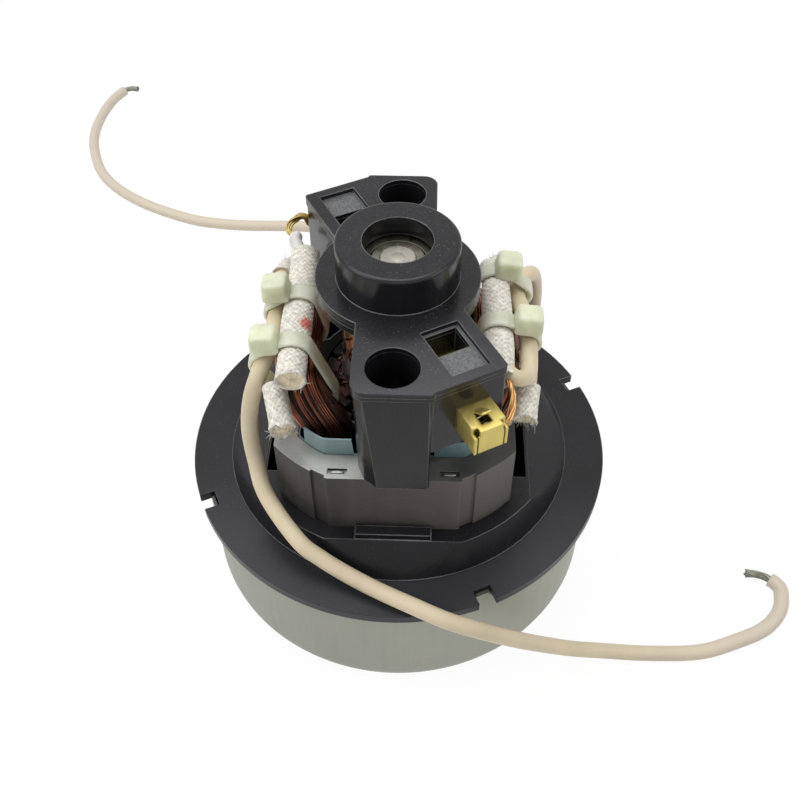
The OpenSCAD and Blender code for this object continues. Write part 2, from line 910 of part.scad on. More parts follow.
// Places in XZ where the left coil's wire, straight between its rings, passes through a tie at y
function tie_spots(y) = [for (a = [7.5 : 15 : 157.5], turn = [0 : 30 : 330], s = [0 : 0.1 : 0.9])
    let (p = (1 - s) * coil_point(a, turn) + s * coil_point(a + 15, turn))
        if (abs(p[1] - y) < tie_w / 2 + 0.3)
            [p[0], p[2]]];

// Section that a tie closes round at distance y along the left bundle, grown by g
module tie_shape(route, y, g) {
    offset(r = g, $fn = 24)
        hull() {
            for (p = tie_spots(y))
                translate(p)
                    circle(d = wire_d + 0.2, $fn = 8);
            for (q = [y - tie_w / 2, y, y + tie_w / 2])
                translate(lead_at(route, q))
                    circle(d = lead_d + 0.5, $fn = 20);
            translate([-sleeve_x, sleeve_z])
                square([sleeve_d + 1, sleeve_d - 1], center = true);
        }
}

module tie(route, y) {
    color([0.76, 0.82, 0.7])
    translate([0, y, 0])
        rotate([90, 0, 0]) {
            linear_extrude(tie_w, center = true)
                difference() {
                    tie_shape(route, y, 0.3 + tie_t);
                    tie_shape(route, y, 0.3);
                }
            translate(lead_at(route, y) + [0.3, 5.5 + 0.95 * (lead_at(route, y)[0] + lead_x)])
                rotate(26)
                    difference() {
                        cube([6.4, 4.6, 6], center = true);
                        translate([-0.9, -0.5, -1.9])
                            cube([1.8, 9, 3.8]);
                    }
        }
}

module left_front_tie() {
    tie(front_route, left_ties[0]);
}

module left_rear_tie() {
    tie(front_route, left_ties[1]);
}

module right_rear_tie() {
    rotate([0, 0, 180])
        tie(turned(rear_route), right_ties[0]);
}

module right_front_tie() {
    rotate([0, 0, 180])
        tie(turned(rear_route), right_ties[1]);
}

module front_lead() {
    color([0.88, 0.8, 0.7])
        route_tube(front_route, lead_d / 2, 8);
}

module rear_lead() {
    color([0.88, 0.8, 0.7])
        route_tube(rear_route, lead_d / 2, 8);
}

// Bare strands from the end of the lead along p, bent over towards way
module bare_tip(p, way) {
    h = heading(p, last(p));
    e = p[last(p)];
    color([0.7, 0.7, 0.7])
        route_tube([e + 0.05 * h, e + h, e + 1.6 * h + 0.25 * way, e + 0.8 * h + 0.7 * way, e + way], 1.1, 8);
}

module front_lead_tip() {
    bare_tip(front_route, [-6.8, 1.6, 0.4]);
}

module rear_lead_tip() {
    bare_tip(rear_route, [6.6, 1.4, 0.4]);
}

module shaft() {
    color([0.62, 0.63, 0.64])
    difference() {
        union() {
            translate([0, 0, low_bearing - 22])
                cylinder(r = ball_bore, h = top_bearing + ball_h - low_bearing + 22.3);
            translate([0, 0, low_bearing + ball_h + 0.1])
                cylinder(r = 5.4, h = 2.2);
            translate([0, 0, top_bearing - 1.4])
                cylinder(r = 5.4, h = 1.3);
        }
        translate([0, 0, top_bearing + ball_h - 0.8])
            cylinder(r1 = 0.1, r2 = 1.2, h = 1.2);
    }
}

module armature_core() {
    color([0.4, 0.38, 0.36])
    translate([0, 0, deck_z])
        linear_extrude(core_h)
            difference() {
                circle(r = arm_r);
                circle(r = ball_bore + 0.02);
                for (i = [0 : slots - 1])
                    rotate(360 * i / slots) {
                        translate([arm_r * 0.7, 0])
                            circle(r = 2.7);
                        translate([arm_r * 0.7, -1])
                            square([arm_r, 2]);
                    }
            }
}

module armature_ends() {
    color([0.75, 0.7, 0.5])
    for (z = [deck_z - 0.85, core_top + 0.05])
        translate([0, 0, z])
            linear_extrude(0.8)
                difference() {
                    circle(r = arm_r - 1.6);
                    circle(r = ball_bore + 0.02);
                    for (i = [0 : slots - 1])
                        rotate(360 * i / slots)
                            translate([arm_r * 0.7 - 2.6, -2.6])
                                square([arm_r, 5.2]);
                }
}

// Wound head: a rounded ring whose height is h, with a groove between each pair of coils
module wound_head(h) {
    difference() {
        rotate_extrude() {
            translate([5.6, 0])
                square([7.2, h]);
            translate([12.8, h / 2 - 0.01])
                circle(r = 2.4);
            translate([12.8, 0.4])
                square([2.2, h / 2]);
        }
        around(slots, 180 / slots)
            translate([17, 0, -1])
                rotate([0, 10, 0])
                    cylinder(r = 2.2, h = h + 4);
    }
}

module armature_winding() {
    low_h = deck_z - 0.95 - (low_bearing + ball_h + 2.8);
    top_h = comm_z - 0.5 - (core_top + 0.95);
    color([0.42, 0.2, 0.12]) {
        translate([0, 0, core_top + 0.95])
            wound_head(top_h);
        translate([0, 0, deck_z - 0.95])
            mirror([0, 0, 1])
                wound_head(low_h);
        around(slots)
            translate([arm_r * 0.7, 0, deck_z - 1.5])
                cylinder(r = 2.4, h = core_h + 3);
    }
}

module commutator_bars() {
    bars = 2 * slots;
    color([0.72, 0.42, 0.24])
    difference() {
        union() {
            translate([0, 0, comm_z])
                ring(comm_r, 8.5, comm_top - comm_z);
            translate([0, 0, comm_z])
                ring(comm_r + 1.4, 8.5, 2);
        }
        around(bars)
            translate([7, -0.3, comm_z - 1])
                cube([10, 0.6, comm_top - comm_z + 2]);
    }
}

module commutator_hub() {
    color([0.25, 0.13, 0.08])
    translate([0, 0, comm_z])
        ring(8.45, ball_bore + 0.02, comm_top - comm_z);
}

fan_back = low_bearing - 13.5;
fan_eye = inlet_r + case_t + 0.7;
fan_low = step_h + case_t + 1.1;
fan_edge = fan_low + 3.6;

module impeller_back() {
    color([0.66, 0.67, 0.68])
    translate([0, 0, fan_back])
        ring(fan_r, ball_bore + 0.03, fan_t);
}

module impeller_front() {
    color([0.66, 0.67, 0.68])
    rotate_extrude()
        polygon([
            [fan_eye, fan_low], [fan_eye + fan_t, fan_low], [fan_eye + fan_t, fan_low + 1.2],
            [fan_r, fan_edge], [fan_r, fan_edge + fan_t], [fan_eye, fan_low + 1.2 + fan_t]]);
}

module impeller_blades() {
    color([0.66, 0.67, 0.68])
    around(blades)
        intersection() {
            translate([fan_r * 0.36, fan_r * 0.5, 0])
                ring(fan_r * 0.62, fan_r * 0.62 - fan_t, fan_back - 0.02);
            translate([fan_eye - 3, -fan_r * 0.2, 0])
                cube([fan_r, fan_r * 0.62, 60]);
            rotate_extrude()
                polygon([
                    [fan_eye + 1, fan_low + 1.3 + fan_t], [fan_r - 0.6, fan_edge + fan_t + 0.02],
                    [fan_r - 0.6, fan_back - 0.02], [fan_eye + 1, fan_back - 0.02]]);
        }
}

module impeller_spacer() {
    color([0.6, 0.6, 0.6])
    translate([0, 0, fan_back + fan_t + 0.02])
        ring(7, ball_bore + 0.03, low_bearing - fan_back - fan_t - 0.04);
}

module impeller_washer() {
    color([0.6, 0.6, 0.6])
    translate([0, 0, fan_back - 1.12])
        ring(9, ball_bore + 0.03, 1.1);
}

module impeller_nut() {
    color([0.55, 0.55, 0.55])
    translate([0, 0, fan_back - 6.2])
        difference() {
            cylinder(r = 7.5, h = 5, $fn = 6);
            translate([0, 0, -1])
                cylinder(r = ball_bore + 0.03, h = 8);
        }
}

fan_case();
frame();
diffuser();
stator_core();
left_liners();
right_liners();
left_field_coil();
right_field_coil();
end_bracket();
bracket_screws();
front_brush_box();
rear_brush_box();
front_brush_wire();
rear_brush_wire();
top_bearing_outer();
low_bearing_outer();
bearing_washer();
left_top_sleeve();
left_front_sleeve();
left_rear_sleeve();
right_top_sleeve();
right_front_sleeve();
right_rear_sleeve();
left_front_tie();
left_rear_tie();
right_front_tie();
right_rear_tie();
front_lead();
rear_lead();
front_lead_tip();
rear_lead_tip();
front_brush();
rear_brush();
front_brush_spring();
rear_brush_spring();
top_bearing_balls();
low_bearing_balls();
shaft();
top_bearing_inner();
low_bearing_inner();
armature_core();
armature_ends();
armature_winding();
commutator_bars();
commutator_hub();
impeller_back();
impeller_blades();
impeller_front();
impeller_spacer();
impeller_washer();
impeller_nut();
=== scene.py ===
import math

import bpy
import numpy as np
from bpy.props import FloatProperty, FloatVectorProperty, IntProperty, PointerProperty
from mathutils import Matrix, Vector


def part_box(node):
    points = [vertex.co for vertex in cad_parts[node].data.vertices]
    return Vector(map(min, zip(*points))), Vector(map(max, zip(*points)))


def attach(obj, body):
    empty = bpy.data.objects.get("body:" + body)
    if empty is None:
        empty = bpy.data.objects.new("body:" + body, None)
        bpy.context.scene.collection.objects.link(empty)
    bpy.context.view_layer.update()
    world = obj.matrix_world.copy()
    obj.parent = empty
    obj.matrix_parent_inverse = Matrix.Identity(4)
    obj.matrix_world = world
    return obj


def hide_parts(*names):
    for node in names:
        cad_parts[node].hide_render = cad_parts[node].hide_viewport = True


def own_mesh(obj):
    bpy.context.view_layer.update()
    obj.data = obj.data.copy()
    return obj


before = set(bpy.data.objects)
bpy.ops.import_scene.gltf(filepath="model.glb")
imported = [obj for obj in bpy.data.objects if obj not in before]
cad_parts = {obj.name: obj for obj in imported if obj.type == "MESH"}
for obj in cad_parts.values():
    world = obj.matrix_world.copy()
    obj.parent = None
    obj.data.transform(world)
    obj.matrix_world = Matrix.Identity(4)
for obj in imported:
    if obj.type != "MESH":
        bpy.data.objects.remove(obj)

bl_info = {
    "name": "Vacuum motor unit",
    "version": (1, 0, 0),
    "blender": (4, 5, 0),
    "location": "View3D > Sidebar > Motor",
    "description": "Dresses a packed vacuum motor unit with wound, woven and moulded finishes",
    "category": "Object",
}

MM = 0.001
PALE_RUB_AND_HIGHLIGHT = (0.3, 0.3, 0.305, 1)
DUST = (0.3, 0.295, 0.28, 1)
BLACK = (0, 0, 0, 1)
WHITE = (1, 1, 1, 1)
SHAFT_STEEL = (0.3, 0.285, 0.25)
SCREW_Y = 29.65 * MM
SCREW_CLEAR = 6.4 * MM
RIM_IN = 44.2 * MM
STAKE_X, STAKE_Y = 12.7 * MM, 32.3 * MM
ARMATURE_SLOTS, BARS = 11, 22
# Out along the brush and across it, in millimetres, to where its wire is joined to the box
BOX_LUG = (38.6, 4.6)
VIEW_TARGET = Vector((0, 0, 52.59 * MM))
LIGHT_TARGET = Vector((0, 0, 0.05))
VIEW_SHIFT = (0.0018, 0.0045)
SENSOR = 36.0
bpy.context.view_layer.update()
CORE_LOW, CORE_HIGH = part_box("stator_core")
CORE_R = 37.6 * MM
BORE_R = 18.2 * MM
ARM_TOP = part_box("end_bracket")[1].z - 9.5 * MM
CORE_H = CORE_HIGH.z - CORE_LOW.z
CORE_MID = (CORE_HIGH.z + CORE_LOW.z) / 2
COIL_X = 0.26 * (CORE_HIGH.x - CORE_LOW.x)
COIL_Y = 20.9 * MM
COIL_UP = CORE_H / 2 + 12.2 * MM
COIL_DOWN = CORE_H / 2 + 8.3 * MM
WIND_N = 3.75 * MM
WIND_X = 5.05 * MM
FLARE = 8.6 * MM
SLEEVE_X = COIL_X + FLARE
SLEEVE_Z = CORE_MID + CORE_H / 2 + 19.55 * MM
LEAD_X = SLEEVE_X + 7.3 * MM
BRUSH_TURN = math.radians(-61.5)
LEFT_TIES = (-13.4 * MM, 2.5 * MM)
RIGHT_TIES = (-12 * MM, 5.2 * MM)
GREY_JACKET = (0.66, 0.585, 0.47)
# Half sizes that a tie's band goes round: a wire, a lead and a long sleeve, each with its room
WIRE_ROOM, LEAD_ROOM, SLEEVE_ROOM = 0.42 * MM, 2.05 * MM, (3.62 * MM, 2.95 * MM)
TIE_HEAD = (6.4 * MM, 6.2 * MM, 5.2 * MM)
WIND_ROUND = 4.3 * MM
SLOT_AT, SLOT_R = 12.32 * MM, 2.35 * MM

# The two leads' routes, as in the solids' source
FRONT_ROUTE = MM * np.array([
    [-29.76, 17.5, 79], [-29.26, 12, 81.2], [-28.86, 5, 82], [-28.86, -3, 82], [-29.06, -11, 82],
    [-30.66, -16.6, 80.7], [-32.86, -19.6, 74.4], [-34.06, -20.8, 65.5], [-33.36, -22.9, 56.3],
    [-30.56, -29.1, 50.7], [-22.4, -38.8, 46.7], [-16.7, -42.1, 44.1], [-10, -45.3, 42.2],
    [-2.8, -48.7, 41.3], [4.5, -52, 41.1], [13, -55.4, 40.4], [20.8, -54.9, 35.5], [31.3, -51, 24.5],
    [44.5, -45.4, 11.3], [55, -42.2, 4.6], [67.8, -41.1, 2], [81.3, -40.2, 2], [92.5, -36.3, 2],
    [100, -32.5, 2], [105, -27, 2], [106.7, -21, 2], [105.9, -18.5, 2], [104.4, -17.1, 2]])
REAR_ROUTE = MM * np.array([
    [29.76, -17.5, 79], [30.16, -12, 81.2], [30.26, -5, 82], [29.46, 3, 81.7], [28.46, 9.5, 81.1],
    [28.46, 12.6, 81.1], [29.76, 16, 81.5], [31.76, 19.2, 80.6], [33.26, 22.6, 77], [34.26, 24.6, 71],
    [34.56, 25.4, 64], [33.56, 27.6, 55.5], [29, 34, 49.5], [22.5, 40.4, 45], [14.5, 45.6, 41.6],
    [9, 50.5, 41.5], [5, 56.5, 40.9], [2.5, 64, 36], [1, 74, 29], [-0.5, 85, 21], [-2, 96, 13.5],
    [-4, 107, 7], [-8, 118, 3.2], [-14.5, 127, 2], [-24, 133.5, 2], [-36, 136.6, 2], [-49.2, 137.2, 2],
    [-62.8, 137, 2], [-74.6, 137.8, 2], [-86.8, 140.4, 2], [-104.2, 148.2, 2], [-118.5, 158.3, 2],
    [-128.7, 170.4, 2], [-135.5, 186, 2], [-138.3, 198, 2], [-138.7, 209, 2], [-137.9, 218.7, 2],
    [-136.2, 226.6, 2], [-133.4, 233, 2]])
# Where each lead's bare tip bends over to, from the end of its jacket
TIPS = {"front": MM * np.array([-6.8, 1.6, 0.4]), "rear": MM * np.array([6.6, 1.4, 0.4])}


# Settings that a user would change

def size_setting(name, text, value):
    return FloatProperty(name=name, description=text, default=value, unit="LENGTH")


def colour_setting(name, text, value):
    return FloatVectorProperty(name=name, description=text, default=value, subtype="COLOR")


def angle_setting(name, text, degrees):
    return FloatProperty(name=name, description=text, default=math.radians(degrees), subtype="ANGLE")


class LeadSettings(bpy.types.PropertyGroup):
    """The two loose leads"""
    diameter: size_setting("Diameter", "Outside of the jacket", 4 * MM)
    colour: colour_setting("Jacket", "Cream silicone", (0.74, 0.63, 0.435))
    strand: size_setting("Strand", "One tinned strand", 0.48 * MM)


class CoilSettings(bpy.types.PropertyGroup):
    """The two field coils"""
    wire: size_setting("Wire", "Diameter of the enamelled wire", 0.58 * MM)
    stations: IntProperty(name="Stations", description="Rings round one loop", default=104)
    colour: colour_setting("Enamel", "Enamelled copper", (0.3, 0.098, 0.052))


class BundleSettings(bpy.types.PropertyGroup):
    """Sleeves and ties that hold the bundles"""
    sleeve: size_setting("Sleeve", "Width of a long glass sleeve", 7 * MM)
    yarns: IntProperty(name="Yarns", description="Yarns round a sleeve, each way", default=15)
    glass: colour_setting("Glass yarn", "White glass", (0.72, 0.69, 0.615))
    tie_width: size_setting("Tie width", "Width of a tie's band", 4.6 * MM)
    tie_thickness: size_setting("Tie thickness", "Thickness of a tie's band", 1.0 * MM)
    nylon: colour_setting("Nylon", "Natural nylon, gone green", (0.7, 0.72, 0.53))


class FinishSettings(bpy.types.PropertyGroup):
    """Colours of the hard pieces"""
    plastic: colour_setting("Moulding", "Black moulded plastic", (0.012, 0.012, 0.014))
    zinc: colour_setting("Case", "Zinc plated sheet", (0.335, 0.338, 0.29))
    stack: colour_setting("Stack edge", "Edges of the stator sheets", (0.048, 0.043, 0.039))
    stack_top: colour_setting("Stack face", "Face of the top sheet", (0.44, 0.45, 0.42))
    brass: colour_setting("Brass", "Brass sheet", (0.61, 0.5, 0.155))
    film: colour_setting("Liner film", "Pale blue slot liner", (0.185, 0.285, 0.3))
    steel: colour_setting("Steel", "Ground steel", (0.5, 0.5, 0.49))


class StageSettings(bpy.types.PropertyGroup):
    """Camera and light"""
    distance: size_setting("Distance", "Camera to target", 257.04 * MM)
    elevation: angle_setting("Elevation", "Camera above the horizon", 47.8)
    azimuth: angle_setting("Azimuth", "Camera round from the front", 2.3)
    roll: angle_setting("Roll", "Turn about the view axis", -0.26)
    lens: FloatProperty(
        name="Lens", description="Focal length in millimetres on a 36 mm sensor", default=45.05)


SETTINGS = {
    "motor_lead": LeadSettings, "motor_coil": CoilSettings, "motor_bundle": BundleSettings,
    "motor_finish": FinishSettings, "motor_stage": StageSettings}


def settings(name):
    return getattr(bpy.context.scene, "motor_" + name)


# Curves and surfaces as arrays

def unit(v):
    return v / np.linalg.norm(v, axis=-1, keepdims=True)


def smooth_route(points, per_span):
    """Catmull-Rom curve through the points: each span is the cubic set by its two neighbours."""
    p = np.vstack([2 * points[0] - points[1], points, 2 * points[-1] - points[-2]])
    t = (np.arange(per_span) / per_span)[None, :, None]
    a, b, c, d = (p[i:len(p) - 3 + i, None, :] for i in range(4))
    square, cube = 2 * a - 5 * b + 4 * c - d, 3 * b - a - 3 * c + d
    curve = 0.5 * (2 * b + (c - a) * t + square * t ** 2 + cube * t ** 3)
    return np.vstack([curve.reshape(-1, 3), points[-1:]])


def length_along(path):
    return np.concatenate([[0], np.cumsum(np.linalg.norm(np.diff(path, axis=0), axis=1))])


def even_route(path, count):
    """The same curve with count points at equal distances."""
    s = length_along(path)
    at = np.linspace(0, s[-1], count)
    return np.stack([np.interp(at, s, path[:, k]) for k in range(3)], axis=1)


def frame_along(path, up):
    """Heading, normal and side at each point: the normal is up made square to the heading."""
    t = unit(np.gradient(path, axis=0))
    n = unit(up - np.sum(up * t, axis=-1, keepdims=True) * t)
    return t, n, np.cross(t, n)


def tube(path, radius, sides, up=(0.31, 0.23, 0.92)):
    """Circle of the given radius, one number or one for each point, carried along a path."""
    t, n, b = frame_along(path, np.asarray(up, float))
    a = 2 * np.pi * np.arange(sides) / sides
    ring = np.cos(a)[None, :, None] * n[:, None] + np.sin(a)[None, :, None] * b[:, None]
    return path[:, None] + np.broadcast_to(radius, len(path))[:, None, None] * ring


def grid_faces(rows, columns, wrap_rows, wrap_columns, first=0):
    """Quads of a grid whose vertices run along its columns."""
    along = np.arange(rows if wrap_rows else rows - 1)
    around = np.arange(columns if wrap_columns else columns - 1)
    i, j = np.meshgrid(along, around, indexing="ij")
    k, m = (i + 1) % rows, (j + 1) % columns
    corners = [i * columns + j, i * columns + m, k * columns + m, k * columns + j]
    return first + np.stack(corners, axis=-1).reshape(-1, 4)


def mesh_object(name, grids, wrap_rows=False, wrap_columns=True, caps=True, sharp=None, **attributes):
    """One object of several surface grids, with flat caps on the open ends of tubes."""
    points, faces, first = [], [], 0
    for grid in grids:
        rows, columns = grid.shape[:2]
        points.append(grid.reshape(-1, 3))
        faces += grid_faces(rows, columns, wrap_rows, wrap_columns, first).tolist()
        if caps and wrap_columns and not wrap_rows:
            ring = np.arange(columns)
            faces += [(first + ring[::-1]).tolist(), (first + (rows - 1) * columns + ring).tolist()]
        first += rows * columns
    mesh = bpy.data.meshes.new(name)
    mesh.from_pydata(np.vstack(points), [], faces)
    for key, values in attributes.items():
        flat = np.concatenate([np.ravel(v) for v in values]).astype(np.float32)
        mesh.attributes.new(key, "FLOAT", "POINT").data.foreach_set("value", flat)
    mesh.update()
    mesh.shade_smooth()
    if sharp:
        mesh.set_sharp_from_angle(angle=math.radians(sharp))
    piece = bpy.data.objects.new(name, mesh)
    bpy.context.scene.collection.objects.link(piece)
    return piece


def dress(piece, material, body="stator", nodes=()):
    """Gives a new piece its material and body, and hides the solids that it stands for."""
    piece.data.materials.clear()
    piece.data.materials.append(material)
    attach(piece, body)
    if nodes:
        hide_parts(*nodes)
    return piece


def half_turn(points):
    """Turned by 180 degrees about the shaft."""
    return points * np.array([-1, -1, 1])


def on_side(grids, turn):
    """Grids as made for the left, or turned to the right."""
    return [half_turn(g) for g in grids] if turn else grids


# Shader node groups and materials

def add(tree, kind, inputs=(), **values):
    """A shader node with its settings and inputs: a socket is linked and any other value is set."""
    node = tree.nodes.new("ShaderNode" + kind)
    for key, value in values.items():
        setattr(node, key, value)
    for key, value in dict(inputs).items():
        if isinstance(value, bpy.types.NodeSocket):
            tree.links.new(value, node.inputs[key])
        else:
            node.inputs[key].default_value = value
    return node


def math_node(tree, operation, a, b=0.0, clamp=False):
    return add(tree, "Math", {0: a, 1: b}, operation=operation, use_clamp=clamp).outputs[0]


def times(tree, a, b, clamp=False):
    return math_node(tree, "MULTIPLY", a, b, clamp)


def plus(tree, a, b, clamp=False):
    return math_node(tree, "ADD", a, b, clamp)


def mix_colour(tree, factor, a, b, blend="MIX"):
    return add(tree, "Mix", {0: factor, 6: a, 7: b}, data_type="RGBA", blend_type=blend).outputs[2]


def span(tree, value, low, high, to_low=0.0, to_high=1.0):
    """Value mapped from low..high to to_low..to_high, held at the ends."""
    return add(tree, "MapRange", {0: value, 1: low, 2: high, 3: to_low, 4: to_high}).outputs[0]


def noise(tree, vector, scale, detail=3.0, rough=0.55):
    return add(
        tree, "TexNoise",
        {"Vector": vector, "Scale": scale, "Detail": detail, "Roughness": rough}).outputs["Fac"]


def object_place(tree):
    return add(tree, "TexCoord").outputs["Object"]


def place_axes(tree):
    return add(tree, "SeparateXYZ", {0: object_place(tree)}).outputs


def flat_length(tree, x, y):
    """Length of the vector with parts x and y."""
    flat = add(tree, "CombineXYZ", {0: x, 1: y}).outputs[0]
    return add(tree, "VectorMath", {0: flat}, operation="LENGTH").outputs["Value"]


def facing_up(tree):
    return add(tree, "SeparateXYZ", {0: add(tree, "NewGeometry").outputs["Normal"]}).outputs[2]


def stretched(tree, scale, turn=(0.0, 0.0, 0.0)):
    """Object place, turned and then scaled for each axis."""
    return add(tree, "Mapping", {"Vector": object_place(tree), "Rotation": turn, "Scale": scale}).outputs[0]


def new_group(name, inputs, outputs):
    """Empty shader group; inputs and outputs are name to (socket type, default)."""
    tree = bpy.data.node_groups.new(name, "ShaderNodeTree")
    for way, sockets in (("INPUT", inputs), ("OUTPUT", outputs)):
        for key, (kind, default) in sockets.items():
            socket = tree.interface.new_socket(key, in_out=way, socket_type="NodeSocket" + kind)
            if default is not None:
                socket.default_value = default
    return tree, tree.nodes.new("NodeGroupInput").outputs, tree.nodes.new("NodeGroupOutput").inputs


def dust_group():
    """Pale specks and a fine mottled film of dust in soft patches, thicker on what faces up."""
    tree, given, out = new_group(
        "settled_dust", {"Speck scale": ("Float", 900.0), "Specks": ("Float", 0.5), "Film": ("Float", 0.3)},
        {"Mask": ("Float", None)})
    place = object_place(tree)
    up = span(tree, facing_up(tree), 0.1, 0.95, 0.1, 1.0)
    cells = add(tree, "TexVoronoi", {"Vector": place, "Scale": given["Speck scale"]}).outputs["Distance"]
    patches = span(tree, noise(tree, place, 120.0, 2.0), 0.45, 0.68)
    specks = times(tree, span(tree, cells, 0.22, 0.06), patches)
    mottle = span(tree, noise(tree, place, 1700.0, 3.0, 0.7), 0.46, 0.72)
    film = times(tree, mottle, span(tree, noise(tree, place, 55.0, 3.0), 0.3, 0.65, 0.25, 1.0))
    total = plus(tree, times(tree, specks, given["Specks"]), times(tree, film, given["Film"]))
    tree.links.new(times(tree, total, up, True), out["Mask"])
    return tree


def edge_group():
    """Rounded corners and where they are: how far the rounded normal leaves the flat one."""
    tree, given, out = new_group(
        "rounded_edges", {"Radius": ("Float", 0.0006)},
        {"Mask": ("Float", None), "Normal": ("Vector", None)})
    round_normal = add(tree, "Bevel", {"Radius": given["Radius"]}, samples=6).outputs[0]
    flat = add(tree, "NewGeometry").outputs["Normal"]
    along = add(tree, "VectorMath", {0: round_normal, 1: flat}, operation="DOT_PRODUCT").outputs["Value"]
    tree.links.new(span(tree, along, 0.992, 0.88), out["Mask"])
    tree.links.new(round_normal, out["Normal"])
    return tree


def grain_group():
    """Fine height of a moulded or rolled surface, with soft waves under it."""
    tree, given, out = new_group(
        "fine_grain", {"Scale": ("Float", 1500.0)}, {"Height": ("Float", None), "Waves": ("Float", None)})
    place = object_place(tree)
    tree.links.new(noise(tree, place, given["Scale"], 4.0, 0.6), out["Height"])
    tree.links.new(noise(tree, place, 70.0, 3.0), out["Waves"])
    return tree


def group_node(tree, name, **inputs):
    node = tree.nodes.new("ShaderNodeGroup")
    node.node_tree = bpy.data.node_groups[name]
    for key, value in inputs.items():
        node.inputs[key.replace("_", " ")].default_value = value
    return node.outputs


def new_material(name, **plain):
    """Material with its Principled shader; plain values are set on the shader's own sockets."""
    material = bpy.data.materials.new(name)
    material.use_nodes = True
    tree = material.node_tree
    shader = tree.nodes["Principled BSDF"]
    for key, value in plain.items():
        shader.inputs[key.replace("_", " ")].default_value = value
    return material, tree, shader


def feed(tree, shader, **sockets):
    for key, value in sockets.items():
        tree.links.new(value, shader.inputs[key.replace("_", " ")])


def bump(tree, height, strength, distance, normal=None):
    inputs = {"Height": height, "Strength": strength, "Distance": distance}
    if normal is not None:
        inputs["Normal"] = normal
    return add(tree, "Bump", inputs).outputs[0]


def rgba(colour, gain=1.0):
    return (*(min(c * gain, 1.0) for c in colour), 1.0)


def cloudy(tree, cloud, colour, low, high):
    """Colour from low to high times its tone, by a cloud of noise."""
    return mix_colour(tree, span(tree, cloud, 0.3, 0.7), rgba(colour, low), rgba(colour, high))


def grained(tree, scale, detail, strength):
    """Normal with a fine even grain."""
    return bump(tree, noise(tree, object_place(tree), scale, detail), strength, 0.0001)


def height_band(tree, middle, half):
    """1 where the surface lies within half of the height given."""
    off = math_node(tree, "ABSOLUTE", math_node(tree, "SUBTRACT", place_axes(tree)[2], middle))
    return math_node(tree, "LESS_THAN", off, half)


def moulded_black(name, rough, gloss, film, specks, edge, floor=None, seam=None):
    """Black moulding: faint flow waves, scuffs, settled dust and pale corners, partly rubbed wear and partly
    painted highlight, with painted light on the front of rim and arm; a stippled floor and a parting line,
    painted as a pale highlight over a painted shade, lie at the heights given."""
    colour = settings("finish").plastic
    material, tree, shader = new_material(name, IOR=1.47, Specular_IOR_Level=gloss)
    rounding = group_node(tree, "rounded_edges", Radius=edge)
    grain = group_node(tree, "fine_grain", Scale=2600.0)
    dusty = group_node(tree, "settled_dust", Speck_scale=1000.0, Specks=specks, Film=film)
    shown = mix_colour(tree, grain["Waves"], rgba(colour, 0.7), rgba(colour, 1.4))
    # Pale corners: partly rubbed wear and partly a painted highlight along the edges
    rubbed = times(tree, rounding["Mask"], span(tree, grain["Waves"], 0.36, 0.6, 0.35, 1.0))
    shown = mix_colour(tree, rubbed, shown, PALE_RUB_AND_HIGHLIGHT)
    drawn = noise(tree, stretched(tree, (700.0, 700.0, 60.0)), 1.0, 4.0, 0.7)
    scuffed = span(tree, drawn, 0.58, 0.8, 0.0, 0.045)
    shown = mix_colour(tree, scuffed, shown, DUST)
    axes = place_axes(tree)
    # Painted light: the fronts of the rim and of the arm's top are paler
    on_rim = span(tree, flat_length(tree, axes[0], axes[1]), RIM_IN, RIM_IN + 0.6 * MM)
    on_arm = math_node(tree, "GREATER_THAN", axes[2], ARM_TOP - 0.3 * MM)
    to_front = span(tree, axes[1], -12 * MM, -36 * MM)
    front_painted_light = times(tree, math_node(tree, "MAXIMUM", on_rim, on_arm), to_front)
    shown = mix_colour(tree, front_painted_light, shown, rgba(colour, 2.9))
    if floor is not None:
        stipple = span(tree, noise(tree, object_place(tree), 2300.0, 3.0, 0.7), 0.36, 0.62, 0.4, 1.0)
        pitted = times(tree, height_band(tree, floor, 0.05 * MM), stipple)
        shown = mix_colour(tree, pitted, shown, (0.17, 0.173, 0.175, 1))
    if seam is not None:
        from_hole = math_node(tree, "SUBTRACT", math_node(tree, "ABSOLUTE", axes[1]), SCREW_Y)
        outside = span(tree, flat_length(tree, axes[0], from_hole), SCREW_CLEAR, SCREW_CLEAR + 0.4 * MM)
        # The parting line is painted as a pale highlight on the lip over a painted shade just under it
        pale = times(tree, height_band(tree, seam, 0.13 * MM), outside)
        dark = times(tree, height_band(tree, seam - 0.3 * MM, 0.16 * MM), outside)
        shown = mix_colour(tree, pale, shown, (0.12, 0.12, 0.125, 1))
        shown = mix_colour(tree, dark, shown, BLACK)
    shown = mix_colour(tree, dusty["Mask"], shown, DUST)
    waves = span(tree, grain["Waves"], 0.3, 0.7, rough - 0.04, rough + 0.05)
    roughness = plus(tree, waves, times(tree, dusty["Mask"], 0.3), True)
    normal = bump(tree, grain["Height"], 0.12, 0.0001, rounding["Normal"])
    feed(tree, shader, Base_Color=shown, Roughness=roughness, Normal=normal)
    return material


